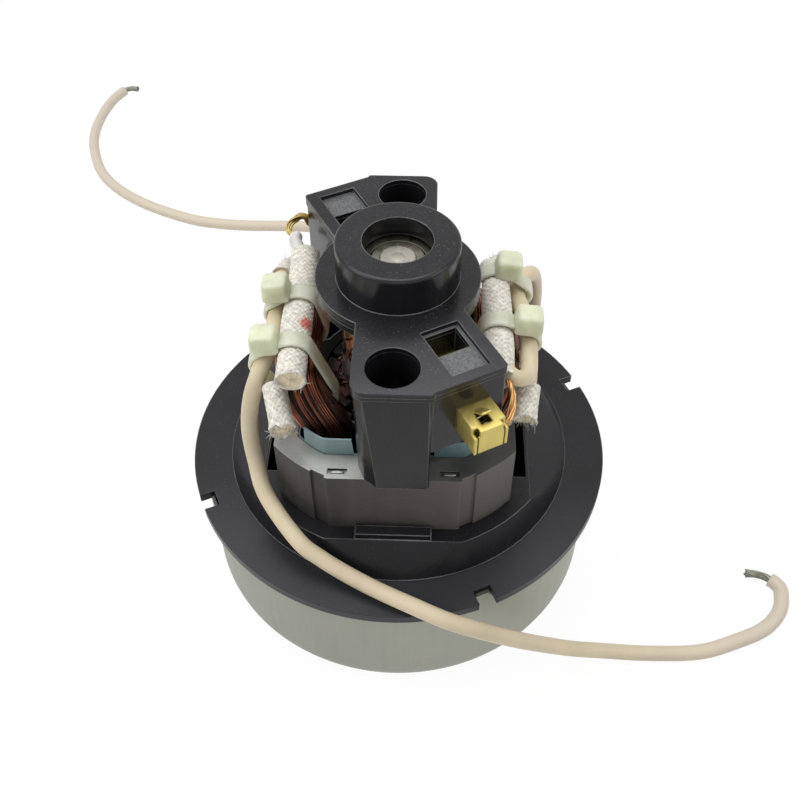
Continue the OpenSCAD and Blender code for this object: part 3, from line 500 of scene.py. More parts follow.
def zinc_sheet():
    """Zinc plated sheet: soft cloudy tone, faint drawing marks up the wall, a few dull smudges and a
    painted shade on the top edge, which shows as dark notches in the rim."""
    colour = settings("finish").zinc
    material, tree, shader = new_material("zinc_sheet", Metallic=0.75)
    place = object_place(tree)
    cloud = noise(tree, place, 24.0, 4.0, 0.55)
    drawn = noise(tree, stretched(tree, (90.0, 90.0, 6.0)), 6.0, 3.0)
    shade = plus(tree, times(tree, cloud, 0.75), times(tree, drawn, 0.25))
    base = mix_colour(tree, span(tree, shade, 0.36, 0.66), rgba(colour, 0.9), rgba(colour, 1.08))
    smudge = span(tree, noise(tree, place, 75.0, 5.0, 0.7), 0.62, 0.78, 0.0, 0.35)
    base = mix_colour(tree, smudge, base, rgba(colour, 0.62))
    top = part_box("fan_case")[1].z
    # Painted shade: the top band of the can, seen through the rim's notches, is darkened
    painted_notch_shade = span(tree, place_axes(tree)[2], top - 0.5 * MM, top - 0.2 * MM, 0.0, 0.85)
    base = mix_colour(tree, painted_notch_shade, base, (0.01, 0.01, 0.01, 1))
    rounding = group_node(tree, "rounded_edges", Radius=0.0004)
    feed(
        tree, shader, Base_Color=base, Roughness=span(tree, cloud, 0.3, 0.7, 0.46, 0.58),
        Normal=bump(tree, drawn, 0.05, 0.0002, rounding["Normal"]))
    return material


def stack_steel(name, edge, face):
    """Stacked sheets: a line between each pair on the sides, paler to the right as painted light, and a
    pale face on top, its paleness a painted reflection that fades to painted shade on the right and near the
    bore.
    """
    material, tree, shader = new_material(name, Metallic=0.35)
    place = object_place(tree)
    axes = place_axes(tree)
    layer = math_node(tree, "PINGPONG", axes[2], 0.25 * MM)
    line = span(tree, layer, 0.0, 0.09 * MM, 0.0, 1.0)
    streak = noise(tree, stretched(tree, (420.0, 420.0, 25.0)), 1.0, 4.0)
    side = mix_colour(tree, streak, rgba(edge, 0.6), rgba(edge, 1.9))
    # Painted light: the sides grow paler towards the right
    side = mix_colour(tree, span(tree, axes[0], -0.015, 0.02, 0.0, 0.85), side, rgba(edge, 3.5))
    between = times(tree, math_node(tree, "SUBTRACT", 1.0, line), 0.55)
    side = mix_colour(tree, between, side, rgba(edge, 0.35))
    blotch = noise(tree, place, 120.0, 5.0, 0.65)
    top = cloudy(tree, blotch, face, 0.78, 1.12)
    # Painted reflection on the top face: pale on the left, fading to a painted shade on the right and within
    # about 27 to 31 mm of the shaft
    across = span(tree, axes[0], -0.006, 0.016, 1.0, 0.2)
    radius = flat_length(tree, axes[0], axes[1])
    across = times(tree, across, span(tree, radius, 0.027, 0.031))
    top = mix_colour(tree, across, rgba(edge, 0.4), top)
    base = mix_colour(tree, span(tree, facing_up(tree), 0.6, 0.9), side, top)
    height = plus(tree, line, times(tree, streak, 0.6))
    corners = group_node(tree, "rounded_edges", Radius=0.0003)["Normal"]
    feed(
        tree, shader, Base_Color=base, Roughness=span(tree, blotch, 0.3, 0.7, 0.42, 0.62),
        Normal=bump(tree, height, 0.35, 0.00015, corners))
    return material


def metal(name, colour, rough, spread=0.25, edge_radius=0.0003, metallic=1.0, scratches=0.12):
    """Bare metal: cloudy tone, fine scratches and rounded corners."""
    material, tree, shader = new_material(name, Metallic=metallic)
    place = object_place(tree)
    cloud = noise(tree, place, 210.0, 5.0, 0.65)
    scratch = noise(tree, stretched(tree, (2400.0, 240.0, 240.0), (0.3, 0.5, 0.7)), 1.0, 2.0)
    base = mix_colour(
        tree, span(tree, cloud, 0.32, 0.68), rgba(colour, 1 - spread), rgba(colour, 1 + spread))
    roughness = span(tree, plus(tree, cloud, scratch), 0.7, 1.3, max(rough - 0.09, 0.05), rough + 0.12)
    rounding = group_node(tree, "rounded_edges", Radius=edge_radius)
    feed(
        tree, shader, Base_Color=base, Roughness=roughness,
        Normal=bump(tree, scratch, scratches, 0.0001, rounding["Normal"]))
    return material


def enamel_copper(name, colour):
    """Enamelled copper wire: most turns dark, a few bright, all darkened towards the shaft by a painted
    shade, with a clear gloss."""
    material, tree, shader = new_material(name, Metallic=0.95, Coat_Weight=0.3, Coat_Roughness=0.1)
    turn = add(tree, "Attribute", attribute_name="turn_tone").outputs["Fac"]
    place = object_place(tree)
    cloud = noise(tree, place, 190.0, 3.0)
    tone = plus(tree, times(tree, turn, 0.75), times(tree, cloud, 0.5))
    base = mix_colour(tree, span(tree, tone, 0.45, 1.1), rgba(colour, 0.05), rgba(colour, 3.2))
    # Painted shade: the turns nearer the shaft are darkened
    outward = span(tree, math_node(tree, "ABSOLUTE", place_axes(tree)[0]), 0.012, 0.025, 0.2, 1.0)
    base = mix_colour(tree, outward, (0.006, 0.002, 0.001, 1), base)
    feed(tree, shader, Base_Color=base, Roughness=span(tree, cloud, 0.3, 0.7, 0.22, 0.38))
    return material


def glass_yarn():
    """White woven glass: yarn attribute shades the hollows, with a faint sheen and specks of grime."""
    colour = settings("bundle").glass
    material, tree, shader = new_material("glass_yarn", Sheen_Weight=0.25, Sheen_Roughness=0.4)
    rise = add(tree, "Attribute", attribute_name="yarn_rise").outputs["Fac"]
    inside = add(tree, "Attribute", attribute_name="sleeve_inside").outputs["Fac"]
    paint = add(tree, "Attribute", attribute_name="red_smear").outputs["Fac"]
    place = object_place(tree)
    grime = span(tree, noise(tree, place, 150.0, 4.0), 0.5, 0.75)
    fibre = noise(tree, place, 2600.0, 2.0)
    glint = span(tree, noise(tree, place, 950.0, 2.0, 0.6), 0.35, 0.65, 0.75, 1.2)
    base = mix_colour(tree, span(tree, rise, 0.15, 0.75), (0.57, 0.55, 0.47, 1), rgba(colour, 1.14))
    base = mix_colour(tree, 1.0, base, glint, "MULTIPLY")
    base = mix_colour(tree, times(tree, grime, 0.35), base, (0.55, 0.49, 0.37, 1))
    base = mix_colour(tree, inside, base, (0.95, 0.82, 0.58, 1))
    blots = plus(tree, noise(tree, place, 520.0, 4.0, 0.7), times(tree, rise, 0.5))
    smear = span(tree, times(tree, paint, blots), 0.42, 0.62, 0.0, 0.85)
    base = mix_colour(tree, smear, base, (0.72, 0.1, 0.06, 1))
    feed(
        tree, shader, Base_Color=base, Roughness=span(tree, fibre, 0.3, 0.7, 0.5, 0.75),
        Normal=bump(tree, fibre, 0.25, 0.00008))
    return material


def green_nylon():
    """Natural nylon gone pale green, milky, with soft moulding marks."""
    colour = settings("bundle").nylon
    material, tree, shader = new_material(
        "green_nylon", Subsurface_Weight=0.8, Subsurface_Scale=0.004, IOR=1.45)
    shader.inputs["Subsurface Radius"].default_value = (1.0, 1.0, 0.8)
    place = object_place(tree)
    cloud = noise(tree, place, 230.0, 4.0)
    base = cloudy(tree, cloud, colour, 0.88, 1.16)
    feed(
        tree, shader, Base_Color=base, Roughness=span(tree, cloud, 0.3, 0.7, 0.34, 0.5),
        Normal=grained(tree, 1200.0, 2.0, 0.1))
    return material


def cream_jacket():
    """Cream silicone jacket: greyer far from the motor, with rubbed marks and a soft gloss."""
    colour = settings("lead").colour
    material, tree, shader = new_material("cream_jacket", IOR=1.43)
    place = object_place(tree)
    cloud = noise(tree, place, 60.0, 5.0, 0.6)
    rubbed = span(tree, noise(tree, place, 240.0, 5.0, 0.75), 0.6, 0.78)
    base = cloudy(tree, cloud, colour, 0.9, 1.1)
    axes = place_axes(tree)
    far = math_node(tree, "MAXIMUM", span(tree, axes[1], 0.06, 0.16), span(tree, axes[0], 0.05, 0.1))
    base = mix_colour(tree, far, base, rgba(GREY_JACKET))
    base = mix_colour(tree, times(tree, rubbed, 0.35), base, (0.3, 0.26, 0.22, 1))
    feed(
        tree, shader, Base_Color=base, Roughness=span(tree, cloud, 0.3, 0.7, 0.4, 0.58),
        Normal=grained(tree, 1800.0, 3.0, 0.12))
    return material


def liner_film():
    """Pale blue slot film: milky, with a painted highlight on its cut edges, painted light on the left and
    painted shade below the stack's top.
    """
    colour = settings("finish").film
    material, tree, shader = new_material("liner_film", IOR=1.5)
    rounding = group_node(tree, "rounded_edges", Radius=0.0006)
    cloud = noise(tree, object_place(tree), 140.0, 3.0)
    base = cloudy(tree, cloud, colour, 0.85, 1.15)
    # Painted highlight along the film's cut edges
    base = mix_colour(tree, times(tree, rounding["Mask"], 0.5), base, rgba(colour, 1.7))
    axes = place_axes(tree)
    # Painted light: the film is paler on the left
    base = mix_colour(tree, span(tree, axes[0], -0.01, 0.01, 0.45, 0.0), base, (0.36, 0.46, 0.46, 1))
    # Painted shade: the film is darkened below the top of the stack
    sunk = span(tree, axes[2], CORE_HIGH.z - 1.5 * MM, CORE_HIGH.z + 0.2 * MM, 1.0, 0.0)
    base = mix_colour(tree, sunk, base, (0.012, 0.014, 0.015, 1))
    feed(tree, shader, Base_Color=base, Roughness=span(tree, cloud, 0.3, 0.7, 0.3, 0.46))
    return material


def dull_body(name, colour, rough):
    """Pressed or moulded dull body with cloudy tone and fine grain."""
    material, tree, shader = new_material(name)
    place = object_place(tree)
    cloud = noise(tree, place, 180.0, 5.0, 0.6)
    base = cloudy(tree, cloud, colour, 0.7, 1.3)
    feed(
        tree, shader, Base_Color=base, Roughness=span(tree, cloud, 0.3, 0.7, rough - 0.08, rough + 0.08),
        Normal=grained(tree, 2200.0, 3.0, 0.2))
    return material


# Forms

def coil_loop(count):
    """One loop of the left field coil at count equal steps: a cubic superellipse in YZ that flares away
    from the shaft above and below the stack. Gives points, headings, outward normals and sides."""
    a = np.linspace(0, 2 * np.pi, 4001)[:-1]
    power = lambda v: np.sign(v) * np.abs(v) ** (2 / 3)
    tall = np.where(np.sin(a) >= 0, COIL_UP, COIL_DOWN)
    rise = tall * power(np.sin(a))
    c = np.clip((np.abs(rise) - CORE_H / 2 + 1.2 * MM) / (13.5 * MM), 0, 1)
    x = -COIL_X - FLARE * c * c * (3 - 2 * c)
    line = np.stack([x, COIL_Y * power(np.cos(a)), CORE_MID + rise], axis=1)
    line = np.vstack([line, line[:1]])
    line = even_route(line, count + 1)[:-1]
    heading = unit(np.roll(line, -1, axis=0) - np.roll(line, 1, axis=0))
    y, z = line[:, 1] / COIL_Y, (line[:, 2] - CORE_MID)
    z = z / np.where(z >= 0, COIL_UP, COIL_DOWN)
    out = np.stack([0 * y, np.sign(y) * y * y, np.sign(z) * z * z], axis=1)
    out = unit(out - np.sum(out * heading, axis=1, keepdims=True) * heading)
    return line, heading, out, np.cross(heading, out)


def wound_coil(stations, wire, seed):
    """One unbroken wire: each loop moves on by a wire's width round an oval section, outer layer first,
    then the layer under it, with a slow random drift so that strands cross and stand off a little."""
    rng = np.random.default_rng(seed)
    line, heading, out, side = coil_loop(stations)
    shares, depths = [], []
    for depth in (0.0, 1.0):
        loops = int(2 * np.pi * (WIND_ROUND - depth * wire) / wire)
        shares.append(np.linspace(0, 2 * np.pi, loops, endpoint=False) + np.pi)
        depths.append(np.full(loops, depth))
    share, depth = np.concatenate(shares), np.concatenate(depths)
    loops = len(share)
    step = np.arange(loops * stations) / stations
    at = np.arange(loops * stations) % stations
    turn = np.interp(step, np.arange(loops), np.unwrap(share))
    deep = np.interp(step, np.arange(loops), depth)
    clear = np.clip((np.abs(line[at, 2] - CORE_MID) - CORE_H / 2 + 2 * MM) / (8 * MM), 0, 1)
    waves = rng.uniform(0, 2 * np.pi, (3, loops + 1))
    drift = sum(
        np.sin(2 * np.pi * (k + 1) * at / stations + np.interp(step, np.arange(loops + 1), waves[k]))
        for k in range(3)) / 3
    lift = np.interp(step, np.arange(loops + 1), rng.normal(0, 1, loops + 1))
    turn = turn + clear * drift * 0.1
    rise = 0.985 - deep * 0.16 + clear * (0.035 * drift + 0.022 * lift)
    across, along = WIND_N * np.cos(turn) * rise, WIND_X * np.sin(turn) * rise
    path = line[at] + across[:, None] * out[at] + along[:, None] * side[at]
    tone = np.interp(step, np.arange(loops + 1), rng.uniform(0, 1, loops + 1))
    return tube(path, 0.4 * wire, 6, out[at] + 0.15 * side[at]), np.repeat(tone, 6)


def coil_core(stations, share_n, share_x, sides):
    """Oval carried round the loop, of the given shares of the winding's half sizes: the plain body
    under the wires."""
    line, heading, out, side = coil_loop(stations)
    a = 2 * np.pi * np.arange(sides) / sides
    across, along = WIND_N * share_n * np.cos(a), WIND_X * share_x * np.sin(a)
    return line[:, None] + across[None, :, None] * out[:, None] + along[None, :, None] * side[:, None]


def braid_height(around, along, yarns, pitch):
    """Height from 0 to 1 of a plain braid: two sets of helical yarns with round backs, each going over
    and under the other in turn, and the higher of the two is seen."""
    u = yarns * around / (2 * np.pi) + along / pitch
    v = yarns * around / (2 * np.pi) - along / pitch
    first = np.abs(np.cos(np.pi * u)) ** 0.8 * (
        0.66 + 0.34 * np.cos(np.pi * np.round(u)) * np.cos(np.pi * v))
    second = np.abs(np.cos(np.pi * v)) ** 0.8 * (
        0.66 - 0.34 * np.cos(np.pi * np.round(v)) * np.cos(np.pi * u))
    return np.maximum(first, second)


def sleeve_surface(path, wide, thick, pinches, yarns, columns=144, frayed=0.0, seed=1):
    """Woven tube: an oval of half sizes wide and thick carried along the path, narrowed at each tie,
    its yarns drawn aside by slow random waves, its wall turned in at both mouths over a soft plug.
    Gives grid, yarn height and plug."""
    rng = np.random.default_rng(seed)
    s = length_along(path)
    rows = max(int(s[-1] / (0.15 * MM)), 60)
    line = even_route(path, rows)
    t, n, b = frame_along(line, np.array([0.02, 0.03, 1.0]))
    along = np.linspace(0, s[-1], rows)
    neck = np.ones(rows)
    for place, share in pinches:
        neck -= share * np.exp(-(((along - place) / (2.7 * MM)) ** 2))
    angle = 2 * np.pi * np.arange(columns) / columns
    drawn_a, drawn_s = np.zeros((rows, columns)), np.zeros((rows, columns))
    for k in range(1, 5):
        wave = rng.uniform(1.5, 6, 2)[:, None, None] * MM
        phase = rng.uniform(0, 2 * np.pi, (2, 1, 1))
        drawn = np.sin(k * angle[None, None] + along[None, :, None] / wave + phase)
        drawn_a += 0.05 * drawn[0]
        drawn_s += 0.16 * MM * drawn[1]
    rise = braid_height(angle[None] + drawn_a, along[:, None] + drawn_s, yarns, 1.5 * MM)
    edge = np.minimum(along, s[-1] - along)
    soft = np.clip(edge / (0.8 * MM), 0.3, 1)[:, None]
    ragged = rng.uniform(-1, 1, columns // 3).repeat(3)
    ragged = frayed * (0.5 * (ragged + np.roll(ragged, 2)) + np.sin(2 * angle + seed))
    push = np.clip(1 - (s[-1] - along) / (2.5 * MM), 0, 1)[:, None] * ragged[None]
    flare = 0.16 * frayed / MM * np.clip(1 - (s[-1] - along) / (4 * MM), 0, 1)[:, None] ** 2
    swell = 1 + flare + 0.04 * np.sin(2 * angle[None] + along[:, None] / (5 * MM)) * soft
    half_w = wide * neck[:, None] * swell + 0.17 * MM * (rise - 0.6) * soft
    half_t = thick * neck[:, None] * swell + 0.17 * MM * (rise - 0.6) * soft
    up, aside = np.cos(angle)[None, :, None], np.sin(angle)[None, :, None]
    ring = half_t[..., None] * up * n[:, None] + half_w[..., None] * aside * b[:, None]
    outer = line[:, None] + ring + push[..., None] * t[:, None]

    def mouth(index, way):
        shares = np.array([0.94, 0.86, 0.8, 0.76, 0.45, 0.02])
        depths = np.array([0.1, 0.0, -0.5, -0.75, -0.5, -0.4]) * MM
        tip = line[index] + np.clip(push[index], -0.3 * MM, 0.3 * MM)[:, None] * t[index]
        return tip[None] + shares[:, None, None] * ring[index][None] + way * depths[:, None, None] * t[index]

    grid = np.concatenate([mouth(0, -1)[::-1], outer, mouth(rows - 1, 1)])
    plug = np.concatenate(
        [np.r_[1, 1, 0.9, 0.6, 0.15, 0.0], np.zeros(rows), np.r_[0.0, 0.15, 0.6, 0.9, 1, 1]])
    height = np.concatenate([np.full((6, columns), 0.5), rise, np.full((6, columns), 0.5)])
    return grid, height, np.repeat(plug[:, None], columns, axis=1)


def lead_at(route, y):
    """Place in XZ of a lead on the left bundle at distance y along it."""
    part = route[6::-1]
    return np.array([np.interp(y, part[:, 1], part[:, 0]), np.interp(y, part[:, 1], part[:, 2])])


def tie_outline(route, y, grow, count=200):
    """Tight loop round coil, sleeve and lead in the XZ plane: at each direction the support point of
    whichever oval reaches furthest, moved out by grow."""
    half = settings("bundle").tie_width / 2
    cloud = coil_core(720, 1, 1, 24).reshape(-1, 3)
    near = cloud[(cloud[:, 2] > CORE_MID) & (np.abs(cloud[:, 1] - y) < half)]
    ovals = [[x, z, WIRE_ROOM, WIRE_ROOM] for x, z in near[:, [0, 2]]]
    ovals += [[*lead_at(route, q), LEAD_ROOM, LEAD_ROOM] for q in (y - half, y, y + half)]
    ovals = np.array(ovals + [[-SLEEVE_X, SLEEVE_Z, *SLEEVE_ROOM]])
    a = 2 * np.pi * np.arange(count) / count
    n = np.stack([np.cos(a), np.sin(a)], axis=1)
    pull = np.sqrt((ovals[:, 2, None] * n[None, :, 0]) ** 2 + (ovals[:, 3, None] * n[None, :, 1]) ** 2)
    reach = ovals[:, :2] @ n.T + pull
    best = np.argmax(reach, axis=0)
    o, h = ovals[best], pull[best, np.arange(count)]
    points = o[:, :2] + np.stack([o[:, 2] ** 2 * n[:, 0], o[:, 3] ** 2 * n[:, 1]], axis=1) / h[:, None]
    return points + grow * n, n


def rounded_box(size, power=5.0, rows=24, columns=40):
    """Superellipsoid: a box with soft edges, as a grid from pole to pole."""
    v = np.linspace(-np.pi / 2, np.pi / 2, rows)[:, None]
    u = (2 * np.pi * np.arange(columns) / columns)[None]
    p = lambda w: np.sign(w) * np.abs(w) ** (2 / power)
    return np.stack([
        size[0] / 2 * p(np.cos(v)) * p(np.cos(u)), size[1] / 2 * p(np.cos(v)) * p(np.sin(u)),
        size[2] / 2 * p(np.sin(v)) * np.ones_like(u)], axis=-1)


def tie_grids(route, y, shift):
    """A tie: rounded band carried round the bundle, and its locking head, a soft box on top of the
    lead, moved by shift across and up."""
    set_up = settings("bundle")
    t, w = set_up.tie_thickness, set_up.tie_width
    line, n = tie_outline(route, y, 0.06 * MM + t / 2)
    p = 2 * np.pi * np.arange(16) / 16
    square = lambda v: np.sign(v) * np.abs(v) ** 0.5
    out, across = t / 2 * square(np.cos(p)), w / 2 * square(np.sin(p))
    band = np.stack([
        line[:, None, 0] + out[None] * n[:, None, 0], y + np.broadcast_to(across, (len(line), 16)),
        line[:, None, 1] + out[None] * n[:, None, 1]], axis=-1)
    band = np.concatenate([band, band[:1]])
    tilt = math.radians(6)
    box = rounded_box(TIE_HEAD, 6.0)
    taper = 1 - 0.09 * box[..., 2:] / (TIE_HEAD[2] / 2)
    box = box * np.concatenate([taper, taper, np.ones_like(taper)], axis=-1)
    x = box[..., 0] * math.cos(tilt) - box[..., 2] * math.sin(tilt)
    z = box[..., 0] * math.sin(tilt) + box[..., 2] * math.cos(tilt)
    seat = lead_at(route, y)
    rise = 5.5 * MM + 0.95 * (seat[0] + LEAD_X)
    over, up = seat[0] + 0.3 * MM + shift[0], seat[1] + rise + shift[1]
    head = np.stack([x + over, y + box[..., 1], z + up], axis=-1)
    return [band, head]


def lead_pieces(name, route):
    """Round jacket along the route, and its bare end: strands twisted round a core line that bends back
    past the jacket."""
    set_up = settings("lead")
    path = even_route(smooth_route(route, 14), 16 * len(route))
    jacket = tube(path, set_up.diameter / 2, 28)
    rng = np.random.default_rng(len(route))
    e, h, way = route[-1], MM * unit(path[-1] - path[-2]), TIPS[name]
    core = even_route(smooth_route(np.array([
        e - 0.8 * h, e + h, e + 1.6 * h + 0.25 * way, e + 0.8 * h + 0.7 * way, e + way]), 16), 60)
    t, n, b = frame_along(core, np.array([0.05, 0.1, 1.0]))
    share = np.linspace(0, 1, len(core))
    strands = []
    for k in range(19):
        ring = 0.0 if k < 1 else (0.42 if k < 7 else 0.84)
        turn = 2 * np.pi * k / (6 if k < 7 else 12) + 2.6 * share + rng.uniform(-0.15, 0.15)
        spread = ring * MM * (1 - 0.12 * share + share ** 3 * rng.uniform(-0.25, 0.35))
        away = np.cos(turn)[:, None] * n + np.sin(turn)[:, None] * b
        stop = int(len(core) * rng.uniform(0.9, 1.0))
        strands.append(tube((core + spread[:, None] * away)[:stop], set_up.strand / 2, 8, (0.2, 0.1, 0.97)))
    return path, jacket, strands


def armature_heads(core, seed=11):
    """Wound heads of the armature: from each slot a bundle of wires arches over to the slot five on.
    Radius dips and height rises as half sine waves of the share of the way, each bundle a little higher
    than the last."""
    rng = np.random.default_rng(seed)
    slots, strands = ARMATURE_SLOTS, 8
    t = np.linspace(0, 1, 44)
    wires, tones = [], []
    for low, way, tall in ((core[1], 1, 8.2 * MM), (core[0], -1, 4.2 * MM)):
        for i in range(slots):
            for j in range(strands):
                spread = (j - (strands - 1) / 2) / strands
                angle = 2 * np.pi * (i + 0.55 * spread + 5 * t) / slots
                dip = np.sin(np.pi * t) ** 0.7
                r = (15.3 - 0.25 * (j % 3)) * MM - dip * (4.6 + 2.2 * spread + 0.25 * rng.normal()) * MM
                rise = tall * (0.22 + 0.78 * (i + 0.5) / slots) * np.sin(np.pi * t) ** 0.45
                z = low + way * (rise * (1 - 0.16 * abs(spread)) + 0.25 * MM * rng.normal())
                wires.append(tube(round_shaft(r, angle, z), 0.36 * MM, 6, (0.1, 0.05, 1)))
                tones.append(np.full(44 * 6, rng.uniform()))
    return wires, tones


def round_shaft(r, angle, z):
    """Points at radius r, angle and height z round the shaft."""
    return np.stack([r * np.cos(angle), r * np.sin(angle), z], axis=-1)


def turned_profile(profile, sides=64):
    """Surface of revolution about the shaft of a list of radius and height."""
    r, z = MM * np.array(profile, float).T
    a = 2 * np.pi * np.arange(sides) / sides
    return round_shaft(r[:, None], a, np.broadcast_to(z[:, None], (len(r), sides)))


def slot_outline():
    """Closed outline in plan of the rear slot on the left, anticlockwise: the window's straight back
    and round corner, its side, the pole's neck and shoe and the bore; corners are rounded by averaging
    neighbours."""
    x, y, r = CORE_LOW.x + 5.3 * MM, CORE_HIGH.y - 7 * MM, CORE_R - 5.8 * MM
    neck, shoe, bore, end = 10 * MM, BORE_R + 2.2 * MM, BORE_R + 1.6 * MM, -5.6 * MM
    wedge = math.pi - math.atan2(59, 40)

    def arc(radius, start, stop):
        a = np.linspace(start, stop, 40)
        return radius * np.stack([np.cos(a), np.sin(a)], axis=1)

    back = arc(r, math.pi - math.asin(y / r), math.acos(x / r))
    tooth = arc(shoe, math.pi - math.asin(neck / shoe), wedge)
    inner = arc(bore, wedge, math.acos(end / bore))
    plan = np.vstack([[[end, y]], back, [[x, neck]], tooth, inner, [[end, y]]])
    flat = even_route(np.column_stack([plan, np.zeros(len(plan))]), 561)[:-1]
    for _ in range(60):
        flat = 0.5 * flat + 0.25 * (np.roll(flat, 1, axis=0) + np.roll(flat, -1, axis=0))
    return flat


def liner_sheet(front):
    """Film liner of a left slot: a thin sheet standing on the slot's outline, raised into a cuff along
    the window's back, the cuff's top edge leaning out a little."""
    line = slot_outline()
    if front:
        line = (line * np.array([1, -1, 1]))[::-1]
    heading = unit(np.roll(line, -1, axis=0) - np.roll(line, 1, axis=0))
    out = np.stack([heading[:, 1], -heading[:, 0], 0 * heading[:, 0]], axis=1)
    step = lambda v, low, high: np.clip((v - low) / (high - low), 0, 1)
    x, y = line[:, 0] / MM, np.abs(line[:, 1]) / MM
    cuff = step(x, -21, -20.6) * step(x, -9.2, -9.6) * step(y, 22, 22.6)
    low = np.full(len(line), CORE_LOW.z - 1.5 * MM)
    seat = np.full(len(line), CORE_HIGH.z)
    rise = 5.5 * MM * cuff
    face, thick, lean = -0.14 * MM, 0.36 * MM, 0.3 * MM * cuff
    back = face - thick
    columns = [
        (face, low), (face, seat), (face + 0.3 * lean, seat + 0.6 * rise), (face + lean, seat + rise),
        (back + lean, seat + rise), (back + 0.3 * lean, seat + 0.6 * rise), (back, seat), (back, low)]
    plan, up = line * np.array([1, 1, 0]), np.array([0, 0, 1])
    return np.stack([
        plan + np.broadcast_to(a, len(line))[:, None] * out + z[:, None] * up for a, z in columns], axis=1)


def strand_bundle(route, width, count, seed, wander=0.18, twist=3.5):
    """Several fine wires side by side along a route, each wandering a little."""
    rng = np.random.default_rng(seed)
    path = even_route(smooth_route(route, 12), 70)
    t, n, b = frame_along(path, np.array([0.3, 0.2, 0.9]))
    s = np.linspace(0, 1, len(path))
    grids = []
    for k in range(count):
        a = 2 * np.pi * k / count + twist * s + rng.uniform(0, 0.6)
        r = width * (0.9 + wander * np.sin(6 * s + rng.uniform(0, 6)))
        wire = path + (r * np.cos(a))[:, None] * n + (r * np.sin(a))[:, None] * b
        grids.append(tube(wire, width * 0.5, 8, n))
    return grids


def hair_grids(root, heading, ring, count, length, seed):
    """Loose glass fibres round the rim of a cut end: each a bent hair of about the given length."""
    rng = np.random.default_rng(seed)
    t, n, b = frame_along(np.array([root - heading, root, root + heading]), np.array([0.02, 0.03, 1.0]))
    grids = []
    for angle in rng.uniform(0, 2 * np.pi, count):
        out = math.cos(angle) * n[1] + math.sin(angle) * b[1]
        away = unit(t[1] + rng.uniform(-0.1, 0.7) * out + rng.normal(0, 0.3, 3))
        bend = rng.normal(0, 0.4, 3)
        s = np.linspace(0, 1, 9)[:, None]
        start = root + ring * rng.uniform(0.85, 1.0) * out - 0.3 * MM * t[1]
        path = start + length * rng.uniform(0.5, 1.4) * (s * away + s * s * bend)
        grids.append(tube(path, 0.1 * MM * np.linspace(1.2, 0.35, 9), 5))
    return grids


def seen_straight(tree):
    """1 for camera, glossy and transmission rays, which meet the white surroundings themselves."""
    path = add(tree, "LightPath").outputs
    either = math_node(tree, "MAXIMUM", path["Is Camera Ray"], path["Is Glossy Ray"])
    return math_node(tree, "MAXIMUM", either, path["Is Transmission Ray"])


class MOTOR_OT_leads(bpy.types.Operator):
    """Cream leads with bare twisted ends, laid along the solids' routes"""
    bl_idname = "motor.leads"
    bl_label = "Leads"

    def execute(self, context):
        jacket_look, strand_look = cream_jacket(), metal("tinned_strand", (0.2, 0.2, 0.165), 0.42)
        x, z = SLEEVE_X, SLEEVE_Z
        fold = np.array([
            [x + 0.2 * MM, -14 * MM, z], [x + 0.9 * MM, -17.6 * MM, z + 0.2 * MM],
            [x + 3.2 * MM, -20.2 * MM, z - 0.2 * MM],
            [x + 5.8 * MM, -18.6 * MM, z - 1.6 * MM], [x + 6.8 * MM, -14.5 * MM, z - 2.6 * MM]])
        fold = tube(even_route(smooth_route(fold, 14), 60), 1.85 * MM, 24)
        dress(mesh_object("right_lead_fold", [fold]), jacket_look)
        for name, route in (("front", FRONT_ROUTE), ("rear", REAR_ROUTE)):
            path, jacket, strands = lead_pieces(name, route)
            lead = mesh_object(name + "_lead_jacket", [jacket])
            tip = mesh_object(name + "_lead_strands", strands)
            dress(lead, jacket_look, nodes=[name + "_lead"])
            dress(tip, strand_look, nodes=[name + "_lead_tip"])
            [Vector(p) for p in path]
        return {"FINISHED"}


class MOTOR_OT_coils(bpy.types.Operator):
    """Field coils wound turn by turn from one wire each"""
    bl_idname = "motor.coils"
    bl_label = "Field coils"

    def execute(self, context):
        set_up = settings("coil")
        wire_look = enamel_copper("enamelled_wire", set_up.colour)
        # The plain body under the wires is painted near black, a painted shade seen in the gaps between turns
        core_look = dull_body("coil_shade", (0.018, 0.006, 0.004), 0.6)
        for side, turn in (("left", False), ("right", True)):
            skin, tone = wound_coil(set_up.stations, set_up.wire, 7 if turn else 3)
            core = coil_core(set_up.stations, 0.8, 0.84, 16)
            skin, core = on_side([skin, core], turn)
            wire = mesh_object(side + "_coil_wire", [skin], turn_tone=[tone])
            dress(wire, wire_look, nodes=[side + "_field_coil"])
            body = mesh_object(side + "_coil_core", [core], wrap_rows=True)
            dress(body, core_look, nodes=[side + "_field_coil"])
        return {"FINISHED"}


